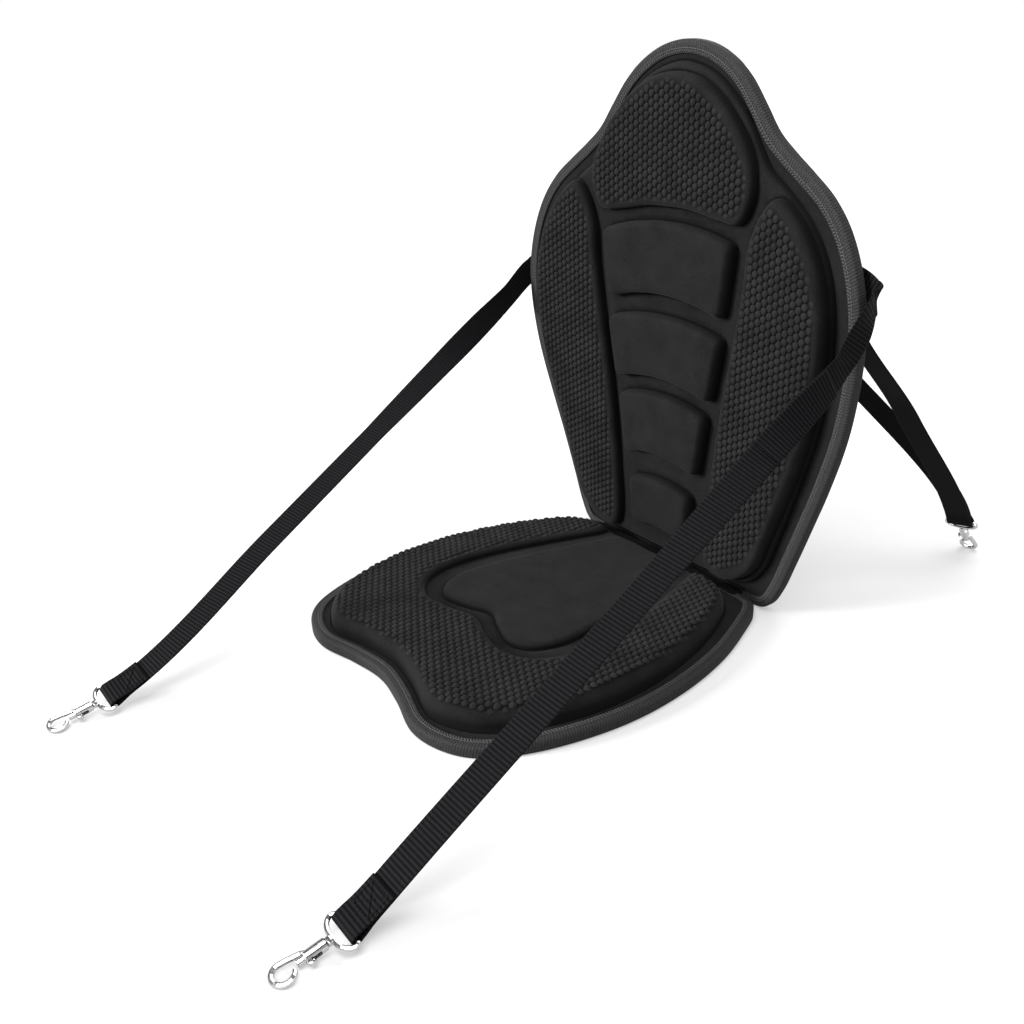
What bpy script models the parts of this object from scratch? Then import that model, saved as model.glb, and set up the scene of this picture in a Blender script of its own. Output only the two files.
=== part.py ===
"""Moulded foam kayak seat: base and backrest with taped rims, webbing straps and bolt snaps.

Metres, Z up. X runs across the seat and +Y points to the rear. Each panel is drawn flat as
(u, v, h): u across, v away from the hinge edge, h out of the panel's plain face.
"""
import math
from typing import NamedTuple

import bmesh
import bpy
import numpy as np
from mathutils import Matrix, Vector
from mathutils.geometry import delaunay_2d_cdt

CLEAR = 0.0003  # gap kept between touching pieces

# Tape folded over the rim of both panels
TAPE_T = 0.0012
TAPE_W = 0.0115
TAPE_ROUND = 0.0028

# Foam thicknesses, from the plain face
FLANGE_T = 0.009
CHANNEL_T = 0.0205
SEAT_PAD_T = 0.0280
SEAT_CENTRE_T = 0.0265
BODY_T = 0.0185
BACK_PAD_T = 0.0285
LUMBAR_T = 0.0320
BODY_ROUND = 0.010
PAD_ROUND = 0.0055
SEAT_ROUND = 0.012

# Rise of the backrest's wings towards the sitter
BACK_CURVE = 0.30
CURVE_HEIGHT = 0.30

OUTLINE_STEP = 0.0155
FILL_STEP = 0.034
SHOULDER = (0.0, 0.08, 0.40, 1.0)

# Halves of the symmetric outlines, from the far edge down to the hinge edge
SEAT_EDGE = [(0, .354), (.040, .360), (.085, .371), (.122, .364), (.150, .343), (.171, .302),
             (.184, .250), (.188, .200), (.183, .145), (.170, .092), (.151, .046), (.135, .016),
             (.116, .005), (.060, .004), (0, .004)]
SEAT_BODY = [(0, .337), (.040, .343), (.083, .354), (.110, .348), (.135, .329), (.155, .293),
             (.167, .248), (.170, .203), (.165, .155), (.152, .105), (.134, .063), (.117, .038),
             (.095, .026), (.050, .023), (0, .023)]
SEAT_CHANNEL = [(0, .249), (.028, .257), (.060, .263), (.087, .253), (.103, .229), (.107, .198),
                (.103, .160), (.092, .116), (.079, .074), (.068, .040), (.062, .014), (0, .014)]
SEAT_CENTRE = [(0, .232), (.024, .241), (.052, .249), (.073, .240), (.084, .217), (.085, .190),
               (.079, .150), (.068, .105), (.056, .062), (.048, .036), (.030, .029), (0, .029)]
BACK_EDGE = [(0, .514), (.028, .510), (.053, .499), (.074, .483), (.092, .462), (.109, .441),
             (.128, .426), (.150, .411), (.173, .394), (.193, .371), (.208, .341), (.217, .306),
             (.219, .270), (.215, .230), (.207, .192), (.193, .148), (.177, .104), (.161, .060),
             (.149, .028), (.136, .007), (.116, .001), (.060, .0005), (0, .0005)]
BACK_BODY = [(0, .497), (.030, .491), (.054, .478), (.079, .456), (.098, .429), (.112, .411),
             (.133, .396), (.156, .377), (.173, .356), (.186, .328), (.193, .290), (.192, .247),
             (.184, .200), (.167, .146), (.147, .085), (.131, .045), (.110, .024), (.070, .018),
             (0, .018)]
HEAD_PAD = [(0, .489), (.028, .485), (.050, .474), (.072, .456), (.090, .434), (.102, .411),
            (.103, .388), (.090, .367), (.062, .368), (.030, .373), (0, .374)]
WING_PAD = [(.130, .392), (.113, .377), (.101, .348), (.098, .315), (.091, .270), (.081, .215),
            (.072, .155), (.066, .095), (.063, .045), (.072, .027), (.098, .031), (.120, .050),
            (.137, .092), (.157, .148), (.174, .202), (.182, .248), (.183, .290), (.176, .325),
            (.164, .352), (.148, .374)]


class LumbarPad(NamedTuple):
    """One of the four smooth pads down the middle, with arched top and bottom edges."""

    top: float
    top_half: float
    bottom: float
    bottom_half: float
    arch: float


LUMBAR_PADS = [LumbarPad(.350, .086, .281, .077, .012), LumbarPad(.264, .078, .200, .066, .010),
               LumbarPad(.186, .062, .120, .052, .009), LumbarPad(.096, .045, .042, .039, .007)]
LUMBAR_CORNER = 0.012

# The back stands behind the seat's rear edge, with a folded cloth hinge between them
SEAT_LIFT = TAPE_T + CLEAR
HINGE_GAP = 0.004
HINGE_HALF = 0.106
HINGE_T = 0.0009
SEAT_REAR = min(v for _, v in SEAT_EDGE)
SEAT_DEPTH = max(v for _, v in SEAT_EDGE)
BACK_FACE = TAPE_T + CLEAR + FLANGE_T + CLEAR + TAPE_T
BACK_REAR = HINGE_GAP / 2 - CLEAR - TAPE_T + BACK_FACE
BACK_FOOT = TAPE_T + CLEAR
# The frame's origin is midway between the seat's front and the backrest's rear
HINGE_Y = (SEAT_DEPTH - SEAT_REAR + HINGE_GAP / 2 - BACK_REAR - TAPE_T - CLEAR) / 2

# Webbing
WEB_W = 0.025
WEB_T = 0.0015
WEB_STEP = 0.014
LAYER = WEB_T + CLEAR
PATCH = (0.118, 0.170, 0.318, 0.374)
PATCH_T = 0.0010
CENTRE_PATCH = (-0.026, 0.026, 0.372, 0.422)
RIM_HALF = 0.2215
RIM_V = 0.318
RIM_DROP = 0.042
LEFT_RIM_V = 0.287
LEFT_RIM_DROP = 0.024
SEWN_AT = (0.150, 0.348)
FOLD_BACK = 0.034

# Bolt snap, along its own axis from the hook's end
HOOK_WIRE = 0.0021
HOOK_R = 0.0074
BARREL_R = 0.0044
BARREL_FOOT = 0.0245
BARREL_TOP = 0.0405
BORE_R = 0.00275
BORE_TOP = 0.0352
BOLT_R = 0.0026
BOLT_FOOT = 0.0191
BOLT_TOP = 0.0283
BOLT_FLOOR = 0.0024
BOLT_TRAVEL = 0.006
SPRING_R = 0.0013
SPRING_WIRE = 0.0003
SPRING_HOLE = 0.0018
SPRING_TURNS = 6
STUD_R = 0.0015
STUD_AT = 0.0272
KNOB_R = 0.0027
CAVITY = (0.0361, 0.0384)
CAVITY_R = 0.0031
PIN_R = 0.0015
PIN_HOLE_R = 0.00156
EYE_WIRE = 0.0019
EYE_HALF = 0.0150
EYE_BAR = 0.0552


class Snap(NamedTuple):
    """Where a bolt snap lies: its hook's end, the point its eye heads for, and its roll."""

    name: str
    tip: tuple
    heading: tuple
    roll: float


SNAPS = [Snap("front_left", (-.111, -.612), (-.070, .990, .147), 14),
         Snap("front_right", (.245, -.561), (-.060, .990, .130), 5),
         Snap("rear", (.183, .277), (.06, -.62, .78), 8)]

BLACK_FABRIC = ("black_fabric", (0.012, 0.012, 0.014), 0.9, 0.0)
TAPE_CLOTH = ("rim_tape", (0.022, 0.022, 0.025), 0.85, 0.0)
HINGE_CLOTH = ("hinge_cloth", (0.014, 0.014, 0.016), 0.5, 0.0)
WEBBING = ("webbing", (0.010, 0.011, 0.015), 0.7, 0.0)
NICKEL = ("nickel_plate", (0.72, 0.71, 0.69), 0.18, 1.0)
SPRING_STEEL = ("spring_steel", (0.55, 0.55, 0.56), 0.3, 1.0)


def material(spec):
    name, colour, roughness, metallic = spec
    found = bpy.data.materials.get(name)
    if found:
        return found
    made = bpy.data.materials.new(name)
    made.use_nodes = True
    shader = made.node_tree.nodes["Principled BSDF"]
    shader.inputs["Base Color"].default_value = (*colour, 1)
    shader.inputs["Roughness"].default_value = roughness
    shader.inputs["Metallic"].default_value = metallic
    made.diffuse_color = (*colour, 1)
    return made


def add_object(name, verts, faces, finish, smooth=True):
    mesh = bpy.data.meshes.new(name)
    mesh.from_pydata([tuple(v) for v in verts], [], faces)
    work = bmesh.new()
    work.from_mesh(mesh)
    bmesh.ops.recalc_face_normals(work, faces=work.faces)
    if work.calc_volume(signed=True) < 0:
        bmesh.ops.reverse_faces(work, faces=work.faces)
    work.to_mesh(mesh)
    work.free()
    made = bpy.data.objects.new(name, mesh)
    bpy.context.scene.collection.objects.link(made)
    mesh.materials.append(material(finish))
    if smooth:
        mesh.shade_smooth()
    return made


# Outlines

def mirrored(half):
    """Close a half outline with its mirror image."""
    return half + [(-u, v) for u, v in reversed(half) if u > 1e-6]


def counter_clockwise(loop):
    area = sum(a[0] * b[1] - b[0] * a[1] for a, b in zip(loop, loop[1:] + loop[:1]))
    return loop if area > 0 else loop[::-1]


def outline_point(p0, p1, p2, p3, t):
    """Catmull-Rom point between p1 and p2."""
    return tuple(0.5 * (2 * b + (c - a) * t + (2 * a - 5 * b + 4 * c - d) * t * t
                        + (3 * b - a - 3 * c + d) * t ** 3) for a, b, c, d in zip(p0, p1, p2, p3))


def strap_point(p0, p1, p2, p3, t):
    """Point between p1 and p2 whose tangents weigh the chords, so uneven steps don't overshoot."""
    before, span, after = math.dist(p0, p1), math.dist(p1, p2), math.dist(p2, p3)
    point = []
    for a, b, c, d in zip(p0, p1, p2, p3):
        rate = (c - b) / span
        first = (span * (b - a) / before + before * rate) / (before + span) if before else rate
        last = (span * (d - c) / after + after * rate) / (span + after) if after else rate
        point.append((2 * t ** 3 - 3 * t * t + 1) * b + (t ** 3 - 2 * t * t + t) * span * first
                     + (3 * t * t - 2 * t ** 3) * c + (t ** 3 - t * t) * span * last)
    return tuple(point)


def even_loop(loop, step):
    """Walk a closed loop of points and return evenly spaced ones."""
    lengths = [math.dist(a, b) for a, b in zip(loop, loop[1:] + loop[:1])]
    count = max(12, round(sum(lengths) / step))
    spaced, walked, at = [], 0.0, 0
    for k in range(count):
        target = sum(lengths) * k / count
        while walked + lengths[at] < target:
            walked += lengths[at]
            at += 1
        share = (target - walked) / lengths[at]
        a, b = loop[at], loop[(at + 1) % len(loop)]
        spaced.append(tuple(x + (y - x) * share for x, y in zip(a, b)))
    return spaced


def smooth_loop(points, step=OUTLINE_STEP):
    """Smooth closed outline through the points, counter-clockwise and evenly spaced."""
    points = counter_clockwise(points)
    count = len(points)
    fine = [outline_point(*(points[(k + j) % count] for j in (-1, 0, 1, 2)), i / 12)
            for k in range(count) for i in range(12)]
    return even_loop(fine, step)


def lumbar_loop(pad):
    """Trapezoid with arched ends and round corners."""
    corners = []
    for side, v, half, arch in ((1, pad.top, pad.top_half, pad.arch),
                                (-1, pad.bottom, pad.bottom_half, pad.arch)):
        row = [(half * x, v + arch * (1 - x * x)) for x in (-1, -.6, -.2, .2, .6, 1)]
        corners += row[::-side]
    loop = even_loop(counter_clockwise(corners), 0.002)
    grid = np.array(loop)
    passes = round((LUMBAR_CORNER / 0.002) ** 2 / 2)
    for _ in range(passes):
        grid = (np.roll(grid, 1, 0) + np.roll(grid, -1, 0) + 2 * grid) / 4
    return even_loop([tuple(p) for p in grid], OUTLINE_STEP * 0.7)


def inset(loop, distance):
    """Move each point of a counter-clockwise loop inwards."""
    moved = []
    for before, here, after in zip(loop[-1:] + loop[:-1], loop, loop[1:] + loop[:1]):
        along = Vector((after[0] - before[0], after[1] - before[1])).normalized()
        moved.append((here[0] - along.y * distance, here[1] + along.x * distance))
    return moved


def depth_inside(loop, points):
    """Signed distance of each point to the loop, positive inside."""
    a = np.array(loop)
    b = np.roll(a, -1, 0)
    p = np.array(points)[:, None, :]
    run = b - a
    share = np.clip(((p - a) * run).sum(2) / (run ** 2).sum(1), 0, 1)
    away = np.linalg.norm(p - a - share[..., None] * run, axis=2).min(1)
    straddles = (a[:, 1] > p[..., 1]) != (b[:, 1] > p[..., 1])
    slope = np.where(abs(run[:, 1]) < 1e-12, 1e-12, run[:, 1])
    crosses = p[..., 0] < a[:, 0] + (p[..., 1] - a[:, 1]) / slope * run[:, 0]
    inside = (straddles & crosses).sum(1) % 2 == 1
    return np.where(inside, away, -away)


def rise(distance, run):
    """Quarter-round step from 0 to 1 over the run."""
    t = np.clip(distance / run, 0, 1)
    return np.sqrt(1 - (1 - t) ** 2)


# Panels

def seat_height(points):
    """Height of the seat base's upper face."""
    body = FLANGE_T + (SEAT_PAD_T - FLANGE_T) * rise(depth_inside(seat_body, points), SEAT_ROUND)
    beyond = -depth_inside(seat_channel, points)
    channel = CHANNEL_T + (SEAT_PAD_T - CHANNEL_T) * rise(beyond, PAD_ROUND)
    centre = depth_inside(seat_centre, points)
    pad = CHANNEL_T + (SEAT_CENTRE_T - CHANNEL_T) * rise(centre, PAD_ROUND)
    return np.where(centre > 0, np.minimum(body, pad), np.minimum(body, channel))


def back_height(points):
    """Height of the backrest's front face."""
    body = FLANGE_T + (BODY_T - FLANGE_T) * rise(depth_inside(back_body, points), BODY_ROUND)
    pads = np.zeros(len(points))
    for loop in [head_pad, *wing_pads]:
        step = (BACK_PAD_T - BODY_T) * rise(depth_inside(loop, points), PAD_ROUND)
        pads = np.maximum(pads, step)
    for loop in lumbar_pads:
        step = (LUMBAR_T - BODY_T) * rise(depth_inside(loop, points), PAD_ROUND)
        pads = np.maximum(pads, step)
    return body + pads


def triangulate(edge, rings):
    """Fill the edge loop with triangles that follow the rings and a loose grid between them.

    Returns the points, the triangles and where the edge's own points are among them.
    """
    points, links = [], []
    for loop in [edge] + rings:
        start = len(points)
        points += loop
        links += [(start + k, start + (k + 1) % len(loop)) for k in range(len(loop))]
    us = [p[0] for p in edge]
    vs = [p[1] for p in edge]
    grid = [(FILL_STEP * (i + 0.5 * (j % 2)), FILL_STEP * j)
            for i in range(math.floor(min(us) / FILL_STEP), math.ceil(max(us) / FILL_STEP) + 1)
            for j in range(math.floor(min(vs) / FILL_STEP), math.ceil(max(vs) / FILL_STEP) + 1)]
    near = np.linalg.norm(np.array(grid)[:, None] - np.array(points), axis=2).min(1)
    inside = depth_inside(edge, grid)
    points += [p for p, gap, deep in zip(grid, near, inside) if gap > FILL_STEP * 0.3 and deep > 0.006]
    verts, _, faces, sources, *_ = delaunay_2d_cdt([Vector(p) for p in points], links, [], 1, 1e-6)
    place_of = {old: new for new, olds in enumerate(sources) for old in olds}
    return [tuple(v) for v in verts], [tuple(f) for f in faces], [place_of[k] for k in range(len(edge))]


def panel(name, tape_edge, rings, height, place):
    """One moulded foam panel: plain face down, shaped face up, upright rim between them."""
    edge = inset(tape_edge, TAPE_T + CLEAR)
    inner = [inset(edge, TAPE_W * 0.5), inset(edge, TAPE_W + 0.001)]
    top, top_faces, top_edge = triangulate(edge, inner + rings)
    low, low_faces, low_edge = triangulate(edge, inner)
    verts = [place(u, v, h) for (u, v), h in zip(top, height(top))]
    verts += [place(u, v, 0) for u, v in low]
    faces = top_faces + [tuple(k + len(top) for k in reversed(f)) for f in low_faces]
    pairs = [(a, b + len(top)) for a, b in zip(top_edge, low_edge)]
    for (a, b), (c, d) in zip(pairs, pairs[1:] + pairs[:1]):
        faces.append((a, b, d, c))
    return add_object(name, verts, faces, BLACK_FABRIC)


def shoulder(loop, run, outwards=False):
    """Rings that carry the round shoulder of a pad."""
    sign = -1 if outwards else 1
    return [inset(loop, sign * run * share) for share in SHOULDER]


def rim_tape(name, edge, place):
    """Woven tape folded over a panel's rim."""
    low, high = -CLEAR - TAPE_T, FLANGE_T + CLEAR + TAPE_T
    bend = TAPE_ROUND
    profile = [(TAPE_W, low), (bend, low), (0, low + bend), (0, high - bend), (bend, high), (TAPE_W, high),
               (TAPE_W, high - TAPE_T), (TAPE_T, high - TAPE_T), (TAPE_T, low + TAPE_T),
               (TAPE_W, low + TAPE_T)]
    rows = [[place(u, v, h) for u, v in inset(edge, deep)] for deep, h in profile]
    return add_object(name, *closed_grid(rows, len(edge)), TAPE_CLOTH)


def closed_grid(rows, count):
    """Verts and faces of a ring of quads that closes both ways."""
    verts = [p for row in rows for p in row]
    faces = []
    for r in range(len(rows)):
        for k in range(count):
            a, b = r * count, (r + 1) % len(rows) * count
            faces.append((a + k, a + (k + 1) % count, b + (k + 1) % count, b + k))
    return verts, faces


def seat_place(u, v, h):
    return u, HINGE_Y - HINGE_GAP / 2 - (v - SEAT_REAR), h + SEAT_LIFT


def back_place(u, v, h):
    """Stand the flat backrest up and bring its wings forward."""
    t = min(max(v / CURVE_HEIGHT, 0), 1)
    forward = BACK_CURVE * u * u * t * t * (3 - 2 * t)
    return u, HINGE_Y + BACK_REAR - h - forward, v + BACK_FOOT - TAPE_T - CLEAR


# Hinge cloth and webbing

def hinge_strip():
    """Cloth folded down into the crease, over the seat's rear tape and up the backrest."""
    top = SEAT_LIFT + FLANGE_T + CLEAR + TAPE_T + CLEAR + HINGE_T / 2
    leg = HINGE_GAP / 2 - CLEAR - HINGE_T / 2 - 0.0002
    centre = [(-0.012, top), (-0.0040, top), (-0.0024, top - 0.0003), (-leg, top - 0.0018),
              (-leg, 0.0052), (-leg * .5, 0.0042), (leg * .5, 0.0042), (leg, 0.0052),
              (leg, 0.0110), (leg, 0.0160)]
    return flat_strip("hinge_cloth", [(-HINGE_HALF, HINGE_HALF, y + HINGE_Y, z) for y, z in centre],
                      HINGE_T, HINGE_CLOTH)


def flat_strip(name, stations, thickness, finish):
    """Strip of constant thickness along stations (low x, high x, y, z)."""
    line = [Vector((0, y, z)) for _, _, y, z in stations]
    sides = []
    for sign in (1, -1):
        for k, (low, high, _, _) in enumerate(stations):
            before, after = line[max(k - 1, 0)], line[min(k + 1, len(line) - 1)]
            a = (line[k] - before).normalized() if k else (after - line[k]).normalized()
            b = (after - line[k]).normalized() if k < len(line) - 1 else a
            along = (a + b).normalized()
            normal = Vector((0, -along.z, along.y)) * sign / max(along.dot(a), 0.6)
            at = line[k] + normal * thickness / 2
            sides.append([(low, at.y, at.z), (high, at.y, at.z)])
    count = len(stations)
    verts = [p for pair in sides for p in pair]
    faces = []
    for k in range(count - 1):
        for base in (0, 2 * count):
            a = base + 2 * k
            faces.append((a, a + 1, a + 3, a + 2))
        for edge in (0, 1):
            a, b = 2 * k + edge, 2 * count + 2 * k + edge
            faces.append((a, a + 2, b + 2, b))
    for k in (0, count - 1):
        a, b = 2 * k, 2 * count + 2 * k
        faces.append((a, a + 1, b + 1, b))
    return add_object(name, verts, faces, finish)


def ribbon(name, stations, finish=WEBBING, width=WEB_W, thickness=WEB_T):
    """Flat webbing through stations (point, direction of its width)."""
    points = [tuple(p) for p, _ in stations]
    widths = [tuple(w) for _, w in stations]
    fine = []
    last = len(points) - 1
    for k in range(last):
        picks = [min(max(k + j, 0), last) for j in (-1, 0, 1, 2)]
        parts = max(1, round(math.dist(points[k], points[k + 1]) / WEB_STEP))
        for i in range(parts):
            t = i / parts
            blend = [a + (b - a) * t for a, b in zip(widths[k], widths[k + 1])]
            fine.append((Vector(strap_point(*(points[j] for j in picks), t)), Vector(blend)))
    fine.append((Vector(points[-1]), Vector(widths[-1])))
    verts, faces = [], []
    for k, (at, across) in enumerate(fine):
        along = (fine[min(k + 1, len(fine) - 1)][0] - fine[max(k - 1, 0)][0]).normalized()
        across = (across - along * across.dot(along)).normalized()
        normal = along.cross(across)
        for w, n in ((-1, -1), (1, -1), (1, 1), (-1, 1)):
            verts.append(at + across * w * width / 2 + normal * n * thickness / 2)
        if k:
            base = 4 * k
            faces += [(base - 4 + i, base - 4 + (i + 1) % 4, base + (i + 1) % 4, base + i)
                      for i in range(4)]
    end = len(verts) - 4
    faces += [(3, 2, 1, 0), (end, end + 1, end + 2, end + 3)]
    return add_object(name, verts, faces, finish)


def patch(name, box):
    """Reinforcement patch on the backrest's plain rear face."""
    u0, u1, v0, v1 = box
    across, up = 6, 4
    rows = []
    for h in (-CLEAR, -CLEAR - PATCH_T):
        for j in range(up + 1):
            rows.append([back_place(u0 + (u1 - u0) * i / across, v0 + (v1 - v0) * j / up, h)
                         for i in range(across + 1)])
    verts = [p for row in rows for p in row]
    w, layer = across + 1, (across + 1) * (up + 1)
    faces = []
    for j in range(up):
        for i in range(across):
            a = j * w + i
            faces += [(a, a + 1, a + w + 1, a + w), (a + layer, a + layer + w, a + layer + w + 1,
                                                     a + layer + 1)]
    border = ([i for i in range(w)] + [j * w + across for j in range(1, up + 1)]
              + [up * w + i for i in range(across - 1, -1, -1)] + [j * w for j in range(up - 1, 0, -1)])
    for a, b in zip(border, border[1:] + border[:1]):
        faces.append((a, a + layer, b + layer, b))
    return add_object(name, verts, faces, WEBBING)


def behind(u, v, layers=1):
    """Point behind the backrest's rear face, in the middle of the given webbing layer."""
    return Vector(back_place(u, v, -TAPE_T - 3 * CLEAR - WEB_T / 2 - LAYER * (layers - 1)))


def snap_frame(snap):
    """Rotation and place of a snap: X towards its opening, Y off its face, Z towards its eye."""
    axis = Vector(snap.heading).normalized()
    level = Vector((axis.y, -axis.x, 0)).normalized()
    level = Matrix.Rotation(math.radians(snap.roll), 3, axis) @ level
    face = axis.cross(level)
    # The hook's ring is tilted with the axis: its lowest point just touches the floor
    drop = (HOOK_R * math.hypot(level.z, axis.z) + HOOK_WIRE) - (HOOK_R + HOOK_WIRE) * axis.z
    at = Vector((snap.tip[0], snap.tip[1] + HINGE_Y, drop))
    turn = Matrix((level, face, axis)).transposed().to_4x4()
    return Matrix.Translation(at) @ turn


def eye_end(frame, length, towards=None):
    """Stations of webbing that comes in from towards, turns round an eye's bar and folds back."""
    across, _, away = frame.to_3x3().transposed()
    bar = frame @ Vector((0, 0, EYE_BAR))
    if towards is not None:
        away = towards - bar
        away = (away - across * away.dot(across)).normalized()
    off = away.cross(across)
    turn = EYE_WIRE + 0.0005 + WEB_T / 2
    lay = LAYER / 2 + 0.0001
    steps = [(0.030, lay), (0.014, lay + 0.0007), (0.005, turn), (0.0, turn + 0.0002),
             (-turn * .72, turn * .72), (-turn, 0), (-turn * .72, -turn * .72),
             (0.0, -turn - 0.0002), (0.005, -turn), (0.014, -lay - 0.0007), (length, -lay)]
    return [(bar + away * along + off * out, across) for along, out in steps]


def front_strap(side, snap, frame):
    """Webbing sewn behind the backrest, round its rim and down to a front snap."""
    upright = Vector((0, 0, -1))
    rim_v, drop, out, layers = ((LEFT_RIM_V, LEFT_RIM_DROP, .0028, 1.7) if side < 0
                                else (RIM_V, RIM_DROP, .0016, 1))
    rim = RIM_HALF + WEB_T / 2 + out
    near = (rim - .0085, rim_v + .008)
    middle = (SEWN_AT[0] + near[0]) / 2, (SEWN_AT[1] + near[1]) / 2
    start = [(behind(side * u, v, n), upright) for (u, v), n in ((SEWN_AT, 1), (middle, 1), (near, layers))]
    round_rim = [(Vector((side * (rim - .0020), back_place(rim, .32, -.0026)[1], rim_v + .0035)), upright),
                 (Vector((side * rim, back_place(rim, .32, .0025)[1], rim_v)), upright),
                 (Vector((side * (rim + .0005), back_place(rim, .3, .035)[1], rim_v - drop)), upright)]
    a = round_rim[-1][0]
    end = eye_end(frame, FOLD_BACK, towards=a)
    b = end[0][0]
    along = (b - a).normalized()
    level = Vector((-along.y, along.x, 0)).normalized()
    raised = level.cross(along)
    run = []
    for share, angle in ((.10, 62), (.22, 32), (.42, 10), (.70, 4 + snap.roll * .5)):
        turn = math.radians(angle)
        run.append((a.lerp(b, share), level * math.cos(turn) + raised * math.sin(turn)))
    return start + round_rim + run + end


def lying_on(stations, k, share):
    """Station of a second layer on the outer face, between stations k and k + 1."""
    points = [tuple(stations[k + j][0]) for j in (-1, 0, 1, 2)]
    at, ahead = (Vector(strap_point(*points, share + step)) for step in (0, .02))
    across = stations[k][1].lerp(stations[k + 1][1], share)
    along = (ahead - at).normalized()
    across = (across - along * across.dot(along)).normalized()
    return at + along.cross(across) * (LAYER + CLEAR), across


def build_front_straps(frames):
    for side, snap in ((-1, SNAPS[0]), (1, SNAPS[1])):
        stations = front_strap(side, snap, frames[snap.name])
        ribbon("front_strap_left" if side < 0 else "front_strap_right", stations)
    # The sewn-down tail of the right strap's adjustment, lying on its outer face
    tail = [lying_on(stations, 5, .35), lying_on(stations, 5, .65), lying_on(stations, 5, 1.0),
            lying_on(stations, 6, .25), lying_on(stations, 6, .5), lying_on(stations, 6, .8)]
    ribbon("front_strap_right_tail", tail)


def build_rear_strap(frame):
    """One webbing from the right patch through the rear snap's eye and up to the middle patch."""
    end = eye_end(frame, FOLD_BACK)
    u = .168
    sideways = Vector((-1, 2 * BACK_CURVE * u, 0)).normalized()
    start = [(behind(u, .372, 2), sideways), (behind(u, .357, 2.4), sideways),
             (behind(u, .336, 3) + Vector((.0005, .004, 0)), sideways)]
    mid = start[-1][0].lerp(end[0][0], .55) + Vector((0, 0, -.002))
    right = start + [(mid, sideways.lerp(end[0][1], .6))] + end[:-1]
    below = end[-2][0] - frame.to_3x3() @ Vector((0, .0002, -.010))
    slanted = Vector((-.9, 0, -.45))
    centre_top = [(behind(-.004, .412), slanted), (behind(.006, .390), slanted),
                  (behind(.012, .376) + Vector((0, .004, 0)), slanted)]
    far = centre_top[-1][0].lerp(below, .45) + Vector((0, .004, -.004))
    left = [(below, end[-1][1]), (far, Vector((-.95, -.05, -.3)))] + centre_top[::-1]
    ribbon("rear_strap", right + left)


# Bolt snaps

def revolve(profile, segments=20):
    """Verts and faces of a solid turned about Z from (radius, z), from its foot to its top."""
    verts, faces, rings = [], [], []
    for radius, z in profile:
        if radius < 1e-9:
            rings.append([len(verts)])
            verts.append((0, 0, z))
        else:
            rings.append([len(verts) + k for k in range(segments)])
            verts += [(radius * math.cos(2 * math.pi * k / segments),
                       radius * math.sin(2 * math.pi * k / segments), z) for k in range(segments)]
    for low, high in zip(rings, rings[1:]):
        for k in range(segments):
            a, b = low[k % len(low)], low[(k + 1) % len(low)]
            c, d = high[(k + 1) % len(high)], high[k % len(high)]
            face = [a]
            for corner in (b, c, d):
                if corner not in face:
                    face.append(corner)
            faces.append(tuple(face))
    return verts, faces


def tube(points, radius, sides=8, closed=False, radii=None):
    """Verts and faces of a round wire along the points, in a plane or a helix."""
    count = len(points)
    verts, faces = [], []
    normal = None
    for k, at in enumerate(points):
        if closed:
            along = points[(k + 1) % count] - points[k - 1]
        else:
            along = points[min(k + 1, count - 1)] - points[max(k - 1, 0)]
        along.normalize()
        if normal is None:
            normal = Vector((0, 1, 0)) if abs(along.y) < 0.9 else Vector((1, 0, 0))
        normal = (normal - along * normal.dot(along)).normalized()
        other = along.cross(normal)
        size = radii[k] if radii else radius
        for i in range(sides):
            angle = 2 * math.pi * i / sides
            verts.append(at + (normal * math.cos(angle) + other * math.sin(angle)) * size)
    for k in range(count if closed else count - 1):
        a, b = k * sides, (k + 1) % count * sides
        faces += [(a + i, a + (i + 1) % sides, b + (i + 1) % sides, b + i) for i in range(sides)]
    if not closed:
        faces += [tuple(reversed(range(sides))), tuple(range((count - 1) * sides, count * sides))]
    return verts, faces


def combine(first, other, operation):
    """Join or cut a solid with the exact solver and delete the tool."""
    step = first.modifiers.new(operation.lower(), "BOOLEAN")
    step.operation = operation
    step.solver = "EXACT"
    step.object = other
    depsgraph = bpy.context.evaluated_depsgraph_get()
    result = bpy.data.meshes.new_from_object(first.evaluated_get(depsgraph))
    first.modifiers.clear()
    old = first.data
    first.data = result
    bpy.data.meshes.remove(old)
    result.name = first.name
    bpy.data.objects.remove(other)
    return first


def turned(profile, at=(0, 0, 0), about_x=False, segments=20):
    """A turned solid as a loose tool, standing on Z or laid along X."""
    verts, faces = revolve(profile, segments)
    if about_x:
        verts = [(z, y, -x) for x, y, z in verts]
    verts = [Vector(v) + Vector(at) for v in verts]
    return add_object("tool", verts, faces, NICKEL)


def box(low, high):
    """A plain block as a loose tool."""
    verts = [(x, y, z) for x in (low[0], high[0]) for y in (low[1], high[1]) for z in (low[2], high[2])]
    faces = [(0, 1, 3, 2), (4, 6, 7, 5), (0, 4, 5, 1), (2, 3, 7, 6), (0, 2, 6, 4), (1, 5, 7, 3)]
    return add_object("tool", verts, faces, NICKEL, smooth=False)


def hook_line():
    """Centre line of the hook: from its tip under the bolt, round the ring and up to the barrel."""
    centre = HOOK_WIRE + HOOK_R
    arc = [Vector((HOOK_R * math.cos(math.radians(a)), 0, centre + HOOK_R * math.sin(math.radians(a))))
           for a in range(72, -199, -18)]
    root = -(BORE_R + BARREL_R) / 2 - 0.0004
    arm = [Vector((-0.0066, 0, 0.0150)), Vector((-0.0055, 0, 0.0195)), Vector((-0.0046, 0, 0.0238)),
           Vector((root, 0, 0.0275))]
    return arc + arm


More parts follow.
